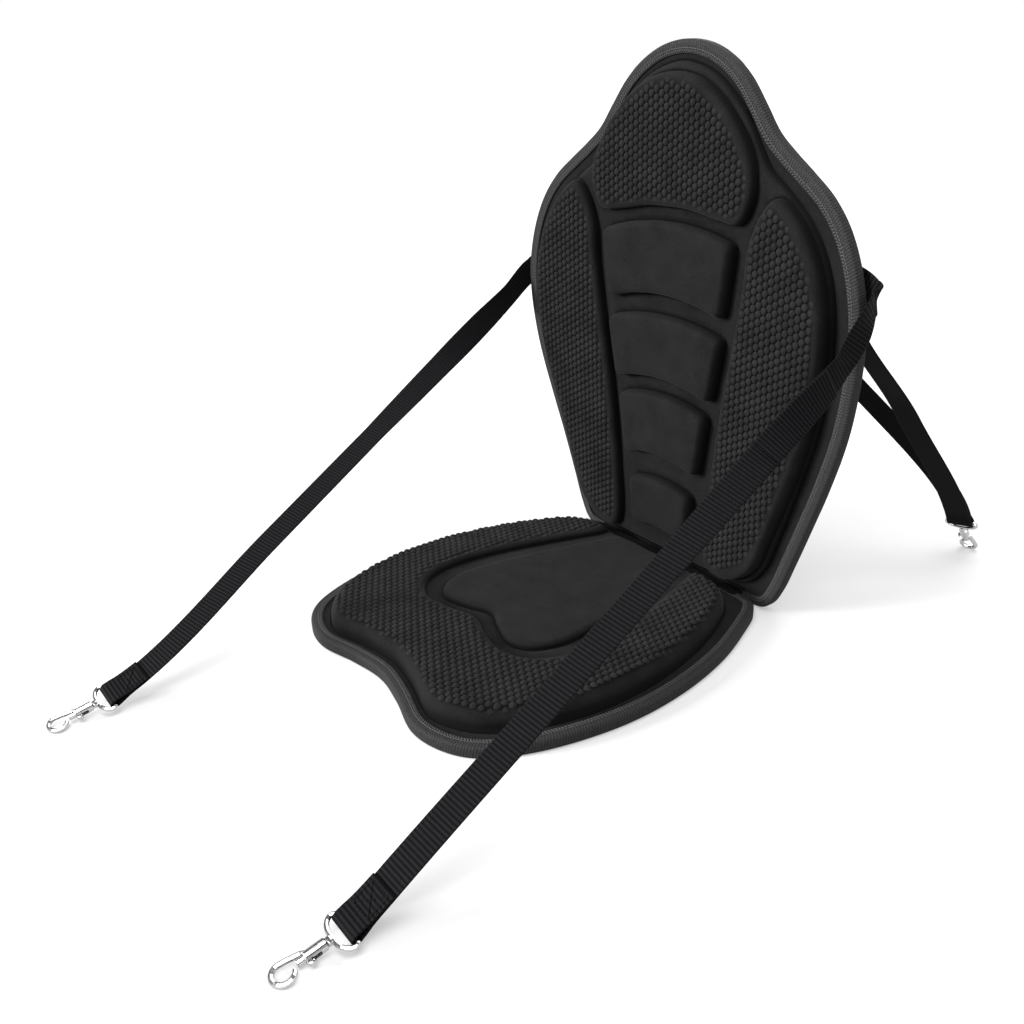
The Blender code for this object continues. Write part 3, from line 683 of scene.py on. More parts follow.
@dataclass
class FoamPanel:
    """A panel of moulded foam under knit cloth, with its pads, bumps and taped rim."""

    name: str
    finishes: Finishes
    tape_t: float = 0.0012
    tape_w: float = 0.0115
    tape_round: float = 0.0030
    clear: float = 0.0003
    flange_t: float = 0.009
    step: float = 0.0035
    fill: float = 0.0055
    bump_pitch: float = 0.00725
    bump_columns: float = 0.00645
    bump_radius: float = 0.0035
    bump_height: float = 0.0021
    shares: tuple[float, ...] = (-0.16, -0.07, 0.0, 0.07, 0.16, 0.30, 0.50, 0.75, 1.0)
    crease: float = 0.0010
    crease_half: float = 0.0008
    # shade_half and between_bumps set the painted shade: its width along the creased outlines and its
    # strength between the bumps.
    shade_half: float = 0.0013
    between_bumps: float = 1.0
    least_bump: float = 0.12
    dome_cut: float = -0.30
    bump_reach: float = 0.3
    back_fill: float = 0.02
    thread_lift: float = 0.0001
    edge_half: tuple[Point, ...] = ()

    def place(self, u: float, v: float, h: float) -> tuple[float, float, float]:
        """Stand a point of the flat panel where the panel is."""
        raise NotImplementedError

    def whole(self, half: Sequence[Point]) -> Loop:
        """Return the smooth outline of which a half is given."""
        return smooth_loop(mirrored(half), self.step)

    def outline(self) -> Loop:
        """Return the outline of the taped rim."""
        return self.whole(self.edge_half)

    def height(self, points: np.ndarray) -> np.ndarray:
        """Return the height of the shaped face."""
        raise NotImplementedError

    def rings(self) -> list[Loop]:
        """Return the loops that the triangles follow."""
        raise NotImplementedError

    def bump_share(self, points: np.ndarray) -> np.ndarray:
        """Return how much of a bump stands at each point, from 0 to 1."""
        raise NotImplementedError

    def bump_grid(self) -> tuple[Matrix, float, float, Vector]:
        """Return where the bumps' grid starts, its width and length, and the way it looks."""
        raise NotImplementedError

    def pressed(self) -> list[Loop]:
        """Return the outlines along which the cloth is pressed into the foam, which the painted shade
        follows.
        """
        raise NotImplementedError

    def cloth_shade(self, points: np.ndarray) -> np.ndarray:
        """Return the painted shade on the cloth, from 0 to 1: along the creased outlines and between the
        bumps.
        """
        nearest = np.min([np.abs(depth_inside(loop, points)) for loop in self.pressed()], 0)
        line = np.exp(-(nearest / self.shade_half) ** 2)
        return np.maximum(line, self.bump_share(points) * self.between_bumps)

    def creased(self, distance: np.ndarray, share: float = 1.0) -> np.ndarray:
        """Return the depth of the pressed line that runs along an outline."""
        return self.crease * share * np.exp(-(distance / self.crease_half) ** 2)

    def shoulder(self, loop: Loop, run: float, outwards: bool = False) -> list[Loop]:
        """Return the rings that carry a pad's round shoulder."""
        sign = -1 if outwards else 1
        return [inset(loop, sign * run * share) for share in self.shares]

    def build_foam(self) -> Object:
        """Build the panel's closed skin, with what its bumps read and the painted shade that its finish
        reads at each point.
        """
        edge = inset(self.outline(), self.tape_t + self.clear)
        inner = [inset(edge, self.tape_w * 0.5), inset(edge, self.tape_w + 0.001)]
        top = triangulate(edge, inner + self.rings(), self.fill)
        low = triangulate(edge, inner, self.back_fill)
        at = np.array(top.points)
        verts = [self.place(u, v, h) for (u, v), h in zip(at, self.height(at))]
        verts += [self.place(u, v, 0) for u, v in low.points]
        faces = top.faces + [tuple(k + len(at) for k in reversed(f)) for f in low.faces]
        pairs = [(a, b + len(at)) for a, b in zip(top.edge, low.edge)]
        faces += [(b, d, c, a) for (a, b), (c, d) in neighbours(pairs)]
        made = mesh_object(self.name, verts, faces, self.finishes.knit)
        # Store the bumps' share and the painted shade for each point.
        for name, values in (("bump_share", self.bump_share(at)), ("cloth_shade", self.cloth_shade(at))):
            store(made, name, np.pad(values, (0, len(low.points))))
        return made

    def bump_recipe(self) -> NodeRecipe:
        """Build the tree that sets domes in offset columns on the pads of the panel it runs on."""
        start, width, length, look = self.bump_grid()
        columns, rows = round(width / self.bump_columns) + 1, round(length / self.bump_pitch) + 1
        recipe = NodeRecipe(f"{self.name}_bumps")
        pitch = recipe.given("Pitch", self.bump_pitch)
        column = recipe.given("Column spacing", self.bump_columns)
        radius = recipe.given("Bump radius", self.bump_radius)
        tall = recipe.given("Bump height", self.bump_height)
        # The bumps take the lighter copy of the knit: painted highlight.
        paint = recipe.given("Cloth", self.finishes.bump_knit)
        grid = recipe.node("GeometryNodeMeshGrid", {
            "Size X": width, "Size Y": length, "Vertices X": columns, "Vertices Y": rows})
        index = recipe.node("GeometryNodeInputIndex").outputs[0]
        col = recipe.maths("FLOOR", recipe.maths("DIVIDE", recipe.maths("ADD", index, 0.5), float(rows)))
        row = recipe.maths("SUBTRACT", index, recipe.maths("MULTIPLY", col, float(rows)))
        odd = recipe.maths("MODULO", col, 2.0)
        x = recipe.maths("MULTIPLY", recipe.maths("SUBTRACT", col, (columns - 1) / 2), column)
        y = recipe.maths("MULTIPLY", recipe.maths("MULTIPLY_ADD", odd, 0.5, row), pitch)
        laid = recipe.node("GeometryNodeSetPosition", {
            "Geometry": grid.outputs["Mesh"], "Position": recipe.vector(x, y, 0.0)})
        moved = recipe.node("GeometryNodeTransform", {
            "Geometry": laid.outputs[0], "Translation": start.translation, "Rotation": start.to_euler()})
        hit = recipe.node("GeometryNodeRaycast", {
            "Target Geometry": recipe.start.outputs["Geometry"], "Ray Direction": look,
            "Ray Length": self.bump_reach, "Attribute": recipe.named("bump_share")}, data_type="FLOAT")
        found = {socket.name: socket for socket in hit.outputs if socket.enabled}
        points = moved.outputs[0]
        for name, value, kind in (("share", "Attribute", "FLOAT"),
                                  ("facing", "Hit Normal", "FLOAT_VECTOR")):
            points = recipe.node("GeometryNodeStoreNamedAttribute", {
                "Geometry": points, "Name": name, "Value": found[value]},
                data_type=kind, domain="POINT").outputs[0]
        seated = recipe.node("GeometryNodeSetPosition", {
            "Geometry": points, "Position": found["Hit Position"]})
        share = recipe.named("share")
        kept = recipe.without(seated.outputs[0], share, self.least_bump)
        position = recipe.node("GeometryNodeInputPosition").outputs[0]
        level = recipe.node("ShaderNodeSeparateXYZ", {0: position}).outputs[2]
        dome = recipe.without(recipe.ball(10, 8), level, self.dome_cut)
        wide = recipe.maths("MULTIPLY", radius, recipe.maths("MULTIPLY_ADD", share, 0.35, 0.65))
        size = recipe.vector(wide, wide, recipe.maths("MULTIPLY", tall, share))
        recipe.close(recipe.scatter(kept, dome, recipe.named("facing", "FLOAT_VECTOR"), size), paint)
        return recipe

    def build_bumps(self, foam: Object) -> Object:
        """Build the moulded bumps of the pads as one piece."""
        return self.bump_recipe().run(foam, f"{self.name}_bumps")

    def tape_profile(self) -> list[Point]:
        """Return the folded tape's section as (distance in from the rim, height)."""
        low, high = -self.clear - self.tape_t, self.flange_t + self.clear + self.tape_t
        bend, inner = self.tape_round, self.tape_t
        lip, worn = self.tape_w - 0.0006, 0.0003
        section = [(self.tape_w, low + worn), (lip, low)]
        for middle, first in ((low + bend, 270), (high - bend, 180)):
            turns = [math.radians(first - 15 * k) for k in range(7)]
            section += [(bend + bend * math.cos(turn), middle + bend * math.sin(turn)) for turn in turns]
        return section + [(lip, high), (self.tape_w, high - worn), (self.tape_w, high - inner),
                          (inner, high - inner), (inner, low + inner), (self.tape_w, low + inner)]

    def build_tape(self) -> Object:
        """Build the woven tape folded over the rim, mapped in metres."""
        edge = smooth_loop(self.outline(), self.step * 0.8)
        section = self.tape_profile()
        walked = np.concatenate([[0], np.cumsum([math.dist(a, b) for a, b in zip(section, section[1:])])])
        total = sum(math.dist(a, b) for a, b in neighbours(edge))
        verts, uv = [], []
        for (deep, h), over in zip(section, walked):
            verts += [self.place(u, v, h) for u, v in inset(edge, deep)]
            uv += [(total * k / len(edge), over) for k in range(len(edge))]
        faces = swept_faces(len(section), len(edge), closed=True)
        return mesh_object(f"{self.name}_rim_tape", verts, faces, self.finishes.tape, uv)

    def edge_stitches(self, deep: float, slant: float, pitch: float) -> list[Stitch]:
        """Return a row of slanted stitches on the tape's upper face.

        Args:
            deep: The row's distance in from the rim.
            slant: How far a stitch leans across the row for each step along it.
            pitch: The distance between stitches.
        """
        high = self.flange_t + self.clear + self.tape_t + self.thread_lift
        rim = smooth_loop(self.outline(), pitch)
        row, nearer = ([Vector(self.place(u, v, high)) for u, v in inset(rim, d)]
                       for d in (deep, deep + 0.001))
        return [Stitch(here, (ahead - here).normalized() + (inwards - here).normalized() * slant)
                for here, ahead, inwards in zip(row, row[1:] + row[:1], nearer)]

    def build(self) -> list[Object]:
        """Build every piece of the panel, and hide the solids that it stands for."""
        foam = self.build_foam()
        bumps = self.build_bumps(foam)
        tape = self.build_tape()
        ticks, row = (sewn(f"{self.name}_edge_{name}", self.edge_stitches(deep, slant, pitch),
                           self.finishes.thread)
                      for name, deep, slant, pitch in (("ticks", 0.0094, 1.3, 0.0030),
                                                       ("row", 0.0072, 0.0, 0.0034)))
        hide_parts(f"{self.name}_panel")
        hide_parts(f"{self.name}_rim_tape")
        for piece in (foam, bumps, tape):
            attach(piece, BODY)
        return [foam, bumps, tape, ticks, row]


@dataclass
class SeatBase(FoamPanel):
    """The base: a broad U pad round a smooth centre pad, with a channel between them."""

    pad_t: float = 0.0280
    centre_t: float = 0.0265
    channel_t: float = 0.0205
    outer_round: float = 0.0105
    pad_round: float = 0.0055
    lift: float = 0.0015
    rear_v: float = 0.004
    rear_y: float = 0.1755

    edge_half: tuple[Point, ...] = (
        (0, .354), (.040, .360), (.085, .371), (.122, .364), (.150, .343), (.171, .302), (.184, .250),
        (.188, .200), (.183, .145), (.170, .092), (.151, .046), (.135, .016), (.116, .005), (.060, .004),
        (0, .004))
    body_half: tuple[Point, ...] = (
        (0, .337), (.040, .343), (.083, .354), (.110, .348), (.135, .329), (.155, .293), (.167, .248),
        (.170, .203), (.165, .155), (.152, .105), (.134, .063), (.117, .038), (.095, .026), (.050, .023),
        (0, .023))
    channel_half: tuple[Point, ...] = (
        (0, .249), (.028, .257), (.060, .263), (.087, .253), (.103, .229), (.107, .198), (.103, .160),
        (.092, .116), (.079, .074), (.068, .040), (.062, .014), (0, .014))
    centre_half: tuple[Point, ...] = (
        (0, .232), (.024, .241), (.052, .249), (.073, .240), (.084, .217), (.085, .190), (.079, .150),
        (.068, .105), (.056, .062), (.048, .036), (.030, .029), (0, .029))

    def __post_init__(self) -> None:
        """Draw the outlines at full smoothness."""
        self.body = self.whole(self.body_half)
        self.channel = self.whole(self.channel_half)
        self.centre = self.whole(self.centre_half)

    def place(self, u: float, v: float, h: float) -> tuple[float, float, float]:
        """Lay a point of the flat base on the floor."""
        return u, self.rear_y - (v - self.rear_v), h + self.lift

    def height(self, points: np.ndarray) -> np.ndarray:
        """Return the height of the base's upper face."""
        deep = depth_inside(self.body, points)
        body = stepped(self.flange_t, self.pad_t, deep, self.outer_round)
        body -= self.creased(deep)
        beyond = -depth_inside(self.channel, points)
        channel = stepped(self.channel_t, self.pad_t, beyond, self.pad_round)
        centre = depth_inside(self.centre, points)
        pad = stepped(self.channel_t, self.centre_t, centre, self.pad_round)
        within = np.where(centre > 0, np.minimum(body, pad), np.minimum(body, channel))
        return within - self.creased(centre, 0.8)

    def rings(self) -> list[Loop]:
        """Return the loops that the triangles follow."""
        return (self.shoulder(self.body, self.outer_round)
                + self.shoulder(self.channel, self.pad_round, outwards=True)
                + self.shoulder(self.centre, self.pad_round))

    def pressed(self) -> list[Loop]:
        """Return the outlines along which the cloth is pressed into the foam, which the painted shade
        follows.
        """
        return [self.body, self.channel, self.centre]

    def bump_share(self, points: np.ndarray) -> np.ndarray:
        """Return how much of a bump stands at each point of the U pad."""
        outer = eased(depth_inside(self.body, points) - 0.0045, 0.006)
        inner = eased(-depth_inside(self.channel, points) - 0.0055, 0.003)
        return np.minimum(outer, inner)

    def bump_grid(self) -> tuple[Matrix, float, float, Vector]:
        """Return the grid above the base, looking down."""
        return Matrix.Translation((0, self.rear_y - 0.37, 0.1)), 0.38, 0.38, Vector((0, 0, -1))


@dataclass(frozen=True)
class LumbarPad:
    """One of the smooth pads down the middle, with arched top and bottom edges."""

    top: float
    top_half: float
    bottom: float
    bottom_half: float
    arch: float

    def loop(self, corner: float, step: float) -> Loop:
        """Return the pad's outline with its corners rounded."""
        corners: Loop = []
        for side, v, half in ((1, self.top, self.top_half), (-1, self.bottom, self.bottom_half)):
            row = [(half * x, v + self.arch * (1 - x * x)) for x in (-1, -.6, -.2, .2, .6, 1)]
            corners += row[::-side]
        grid = np.array(even_loop(counter_clockwise(corners), 0.002))
        for _ in range(round((corner / 0.002) ** 2 / 2)):
            grid = (np.roll(grid, 1, 0) + np.roll(grid, -1, 0) + 2 * grid) / 4
        return even_loop([tuple(p) for p in grid], step)


@dataclass
class Backrest(FoamPanel):
    """The backrest: head pad, two wings and four lumbar pads on a dished body."""

    body_t: float = 0.0185
    pad_t: float = 0.0285
    lumbar_t: float = 0.0320
    body_round: float = 0.010
    pad_round: float = 0.0055
    lumbar_corner: float = 0.012
    dish: float = 0.30
    dish_height: float = 0.30
    rear_y: float = 0.1900

    lumbar: tuple[LumbarPad, ...] = (
        LumbarPad(.350, .086, .281, .077, .012), LumbarPad(.264, .078, .200, .066, .010),
        LumbarPad(.186, .062, .120, .052, .009), LumbarPad(.096, .045, .042, .039, .007))
    edge_half: tuple[Point, ...] = (
        (0, .514), (.028, .510), (.053, .499), (.074, .483), (.092, .462), (.109, .441), (.128, .426),
        (.150, .411), (.173, .394), (.193, .371), (.208, .341), (.217, .306), (.219, .270), (.215, .230),
        (.207, .192), (.193, .148), (.177, .104), (.161, .060), (.149, .028), (.136, .007), (.116, .001),
        (.060, .0005), (0, .0005))
    body_half: tuple[Point, ...] = (
        (0, .497), (.030, .491), (.054, .478), (.079, .456), (.098, .429), (.112, .411), (.133, .396),
        (.156, .377), (.173, .356), (.186, .328), (.193, .290), (.192, .247), (.184, .200), (.167, .146),
        (.147, .085), (.131, .045), (.110, .024), (.070, .018), (0, .018))
    head_half: tuple[Point, ...] = (
        (0, .489), (.028, .485), (.050, .474), (.072, .456), (.090, .434), (.102, .411), (.103, .388),
        (.090, .367), (.062, .368), (.030, .373), (0, .374))
    wing: tuple[Point, ...] = (
        (.130, .392), (.113, .377), (.101, .348), (.098, .315), (.091, .270), (.081, .215), (.072, .155),
        (.066, .095), (.063, .045), (.072, .026), (.098, .025), (.127, .047), (.144, .089), (.165, .147),
        (.182, .201), (.190, .247), (.191, .290), (.184, .327), (.171, .355), (.153, .377))
    bump_limit: tuple[Point, ...] = (
        (.130, .385), (.116, .372), (.108, .348), (.104, .315), (.097, .270), (.087, .215), (.078, .155),
        (.072, .095), (.070, .048), (.078, .036), (.098, .040), (.119, .058), (.137, .094), (.157, .148),
        (.175, .203), (.184, .248), (.185, .288), (.178, .323), (.166, .349), (.148, .371))

    def __post_init__(self) -> None:
        """Draw the outlines at full smoothness."""
        self.body = self.whole(self.body_half)
        self.head = self.whole(self.head_half)
        self.wings = [smooth_loop([(s.value * u, v) for u, v in self.wing], self.step) for s in Side]
        self.limits = [smooth_loop([(s.value * u, v) for u, v in self.bump_limit], self.step) for s in Side]
        self.pads = [pad.loop(self.lumbar_corner, self.step) for pad in self.lumbar]

    def place(self, u: float, v: float, h: float) -> tuple[float, float, float]:
        """Stand a point of the flat backrest up and bring its wings forward."""
        t = min(max(v / self.dish_height, 0), 1)
        forward = self.dish * u * u * t * t * (3 - 2 * t)
        return u, self.rear_y - h - forward, v

    def height(self, points: np.ndarray) -> np.ndarray:
        """Return the height of the backrest's front face."""
        deep = depth_inside(self.body, points)
        body = stepped(self.flange_t, self.body_t, deep, self.body_round)
        body -= self.creased(deep)
        pads = np.zeros(len(points))
        for loops, top in (([self.head, *self.wings], self.pad_t), (self.pads, self.lumbar_t)):
            for loop in loops:
                within = depth_inside(loop, points)
                pads = np.maximum(pads, (top - self.body_t) * rise(within, self.pad_round))
                body -= self.creased(within, 0.8)
        return body + pads

    def rings(self) -> list[Loop]:
        """Return the loops that the triangles follow."""
        made = self.shoulder(self.body, self.body_round)
        for loop in [self.head, *self.wings, *self.pads]:
            made += self.shoulder(loop, self.pad_round)
        return made

    def pressed(self) -> list[Loop]:
        """Return the outlines along which the cloth is pressed into the foam, which the painted shade
        follows.
        """
        return [self.body, self.head, *self.wings, *self.pads]

    def bump_share(self, points: np.ndarray) -> np.ndarray:
        """Return how much of a bump stands at each point of the head pad and the wings."""
        head = eased(depth_inside(self.head, points) - 0.0055, 0.006)
        wings = [eased(depth_inside(loop, points) + 0.001, 0.005) for loop in self.limits]
        return np.maximum.reduce([head, *wings])

    def bump_grid(self) -> tuple[Matrix, float, float, Vector]:
        """Return the grid in front of the backrest, looking to the rear."""
        stand = Matrix.Rotation(math.radians(90), 4, "X")
        return stand, 0.40, 0.50, Vector((0, 1, 0))


# Webbing

@dataclass(frozen=True)
class Station:
    """A point on a strap's centre line and the direction of its width."""

    at: Vector
    across: Vector


def strap_point(p0: Sequence[float], p1: Sequence[float], p2: Sequence[float], p3: Sequence[float],
                t: float) -> Vector:
    """Return the point between p1 and p2 on a curve whose tangents weigh the chords."""
    before, span, after = math.dist(p0, p1), math.dist(p1, p2), math.dist(p2, p3)
    point = []
    for a, b, c, d in zip(p0, p1, p2, p3):
        rate = (c - b) / span
        first = (span * (b - a) / before + before * rate) / (before + span) if before else rate
        last = (span * (d - c) / after + after * rate) / (span + after) if after else rate
        point.append((2 * t ** 3 - 3 * t * t + 1) * b + (t ** 3 - 2 * t * t + t) * span * first
                     + (3 * t * t - 2 * t ** 3) * c + (t ** 3 - t * t) * span * last)
    return Vector(point)


@dataclass
class Strap:
    """A length of flat webbing with woven ribs."""

    name: str
    stations: list[Station]
    finish: Material
    width: float = 0.025
    thickness: float = 0.0015
    step: float = 0.0009
    rib_pitch: float = 0.0033
    rib_depth: float = 0.00045
    ribbed_half: float = 0.47
    far_side: float = 0.05

    def line(self) -> list[Station]:
        """Return the strap's centre line in fine steps."""
        last = len(self.stations) - 1
        fine = []
        for k in range(last):
            picks = [tuple(self.stations[min(max(k + j, 0), last)].at) for j in (-1, 0, 1, 2)]
            a, b = self.stations[k], self.stations[k + 1]
            parts = max(2, round((b.at - a.at).length / self.step))
            fine += [Station(strap_point(*picks, i / parts), a.across.lerp(b.across, i / parts))
                     for i in range(parts)]
        return fine + [self.stations[-1]]

    def section(self) -> list[Point]:
        """Return the band's section, thin at its selvedges, as (across, out)."""
        half, thick = self.width / 2, self.thickness / 2
        right = [(half * .3, thick), (half * .8, thick), (half - .0006, thick * .92), (half, thick * .45)]
        upper = [(-w, n) for w, n in reversed(right)] + right
        return upper + [(w, -n) for w, n in reversed(upper)]

    def walked(self, fine: Sequence[Station]) -> np.ndarray:
        """Return how far along the strap each point of its centre line lies."""
        return np.concatenate([[0], np.cumsum([(b.at - a.at).length for a, b in zip(fine, fine[1:])])])

    def build(self) -> Object:
        """Build the band, and press its ribs with Geometry Nodes."""
        fine, section = self.line(), self.section()
        verts, uv, out = [], [], []
        for k, (station, walked) in enumerate(zip(fine, self.walked(fine))):
            along = (fine[min(k + 1, len(fine) - 1)].at - fine[max(k - 1, 0)].at).normalized()
            across = squared(station.across, along)
            normal = along.cross(across)
            for w, n in section:
                verts.append(station.at + across * w + normal * n)
                uv.append((walked, w + (self.far_side if n < 0 else 0)))
                ribbed = abs(w) < self.width * self.ribbed_half
                out.append(tuple(normal * (1 if n > 0 else -1) * (1 if ribbed else 0)))
        faces = swept_faces(len(fine), len(section))
        band = mesh_object(f"{self.name}_band", verts, faces, self.finish, uv)
        store(band, "walked", [along for along, _ in uv])
        store(band, "outwards", out)
        made = self.rib_recipe().run(band, self.name)
        bpy.data.objects.remove(band)
        return made

    def rib_recipe(self) -> NodeRecipe:
        """Build the tree that presses ribs across the band."""
        recipe = NodeRecipe(f"{self.name}_ribs")
        pitch, depth = recipe.given("Rib pitch", self.rib_pitch), recipe.given("Rib depth", self.rib_depth)
        paint = recipe.given("Webbing", self.finish)
        walked, outwards = recipe.named("walked"), recipe.named("outwards", "FLOAT_VECTOR")
        turns = recipe.maths("MULTIPLY", recipe.maths("DIVIDE", walked, pitch), 2 * math.pi)
        wave = recipe.maths("MULTIPLY", recipe.maths("SUBTRACT", recipe.maths("SINE", turns), 1.0), 0.5)
        push = recipe.node("ShaderNodeVectorMath", {0: outwards, 3: recipe.maths("MULTIPLY", wave, depth)},
                           operation="SCALE").outputs[0]
        pressed = recipe.node("GeometryNodeSetPosition", {
            "Geometry": recipe.start.outputs["Geometry"], "Offset": push})
        recipe.close(pressed.outputs[0], paint)
        return recipe

    def box(self, start: float, end: float, out: int, half: float = 0.009) -> list[Stitch]:
        """Return a crossed box of stitches on one face.

        Args:
            start: Where the box starts along the strap.
            end: Where it ends.
            out: 1 or -1, for the face that it shows on.
            half: Half of its width.
        """
        fine = self.line()
        walked = self.walked(fine)

        def stand(along: float, w: float) -> Vector:
            """Put a point of the flat strap on its face."""
            k = min(max(int(np.searchsorted(walked, along)), 1), len(fine) - 2)
            way = (fine[k + 1].at - fine[k - 1].at).normalized()
            across = squared(fine[k].across, way)
            at = fine[k].at + way * float(along - walked[k])
            return at + across * w + way.cross(across) * (out * self.thickness / 2)

        return box_stitches([(start, -half), (end, -half), (end, half), (start, half)], stand)

    def length(self) -> float:
        """Return the length of the centre line."""
        return float(self.walked(self.line())[-1])


@dataclass
class SnapPlace:
    """Where a bolt snap lies: the place and turn of its own axes."""

    name: str
    tip: tuple[float, float]
    heading: tuple[float, float, float]
    roll: float
    wire: float = 0.0021
    ring: float = 0.0074
    hinge_y: float = 0.1775
    eye_bar: float = 0.0552
    eye_wire: float = 0.0019
    spring_ends: tuple[float, float] = (0.0221, 0.0346)
    spring_radius: float = 0.0013
    spring_wire: float = 0.0003
    spring_turns: int = 6
    wire_sides: int = 8
    steps_per_turn: int = 24
    bolt_travel: float = 0.006

    def build_spring(self, finish: Material) -> Object:
        """Build the bolt's coil spring in one fixed shape, though the real one closes up as the bolt is
        drawn.

        Args:
            finish: The drawn wire's finish.

        Returns:
            The spring, on the hook's body.
        """
        at, (low, high) = self.frame(), self.spring_ends
        steps = self.spring_turns * self.steps_per_turn
        climb = (high - low) / (steps * self.spring_radius) * self.steps_per_turn / (2 * math.pi)
        verts = []
        for k in range(steps + 1):
            angle = 2 * math.pi * k / self.steps_per_turn
            out = Vector((math.cos(angle), math.sin(angle), 0))
            across = Vector((-out.y, out.x, climb)).normalized().cross(out)
            middle = out * self.spring_radius + Vector((0, 0, low + (high - low) * k / steps))
            for turn in (2 * math.pi * i / self.wire_sides for i in range(self.wire_sides)):
                round_wire = out * math.cos(turn) + across * math.sin(turn)
                verts.append(at @ (middle + round_wire * self.spring_wire))
        made = mesh_object(f"{self.name}_coil", verts, swept_faces(steps + 1, self.wire_sides), finish)
        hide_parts(f"{self.name}_snap_spring")
        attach(made, f"{self.name}_hook")
        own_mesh(made)
        return made

    def frame(self) -> Matrix:
        """Return the snap's frame: X towards its opening, Y off its face, Z towards its eye."""
        axis = Vector(self.heading).normalized()
        level = Vector((axis.y, -axis.x, 0)).normalized()
        level = Matrix.Rotation(math.radians(self.roll), 3, axis) @ level
        face = axis.cross(level)
        drop = (self.ring * math.hypot(level.z, axis.z) + self.wire) - (self.ring + self.wire) * axis.z
        at = Vector((self.tip[0], self.tip[1] + self.hinge_y, drop))
        return Matrix.Translation(at) @ Matrix((level, face, axis)).transposed().to_4x4()


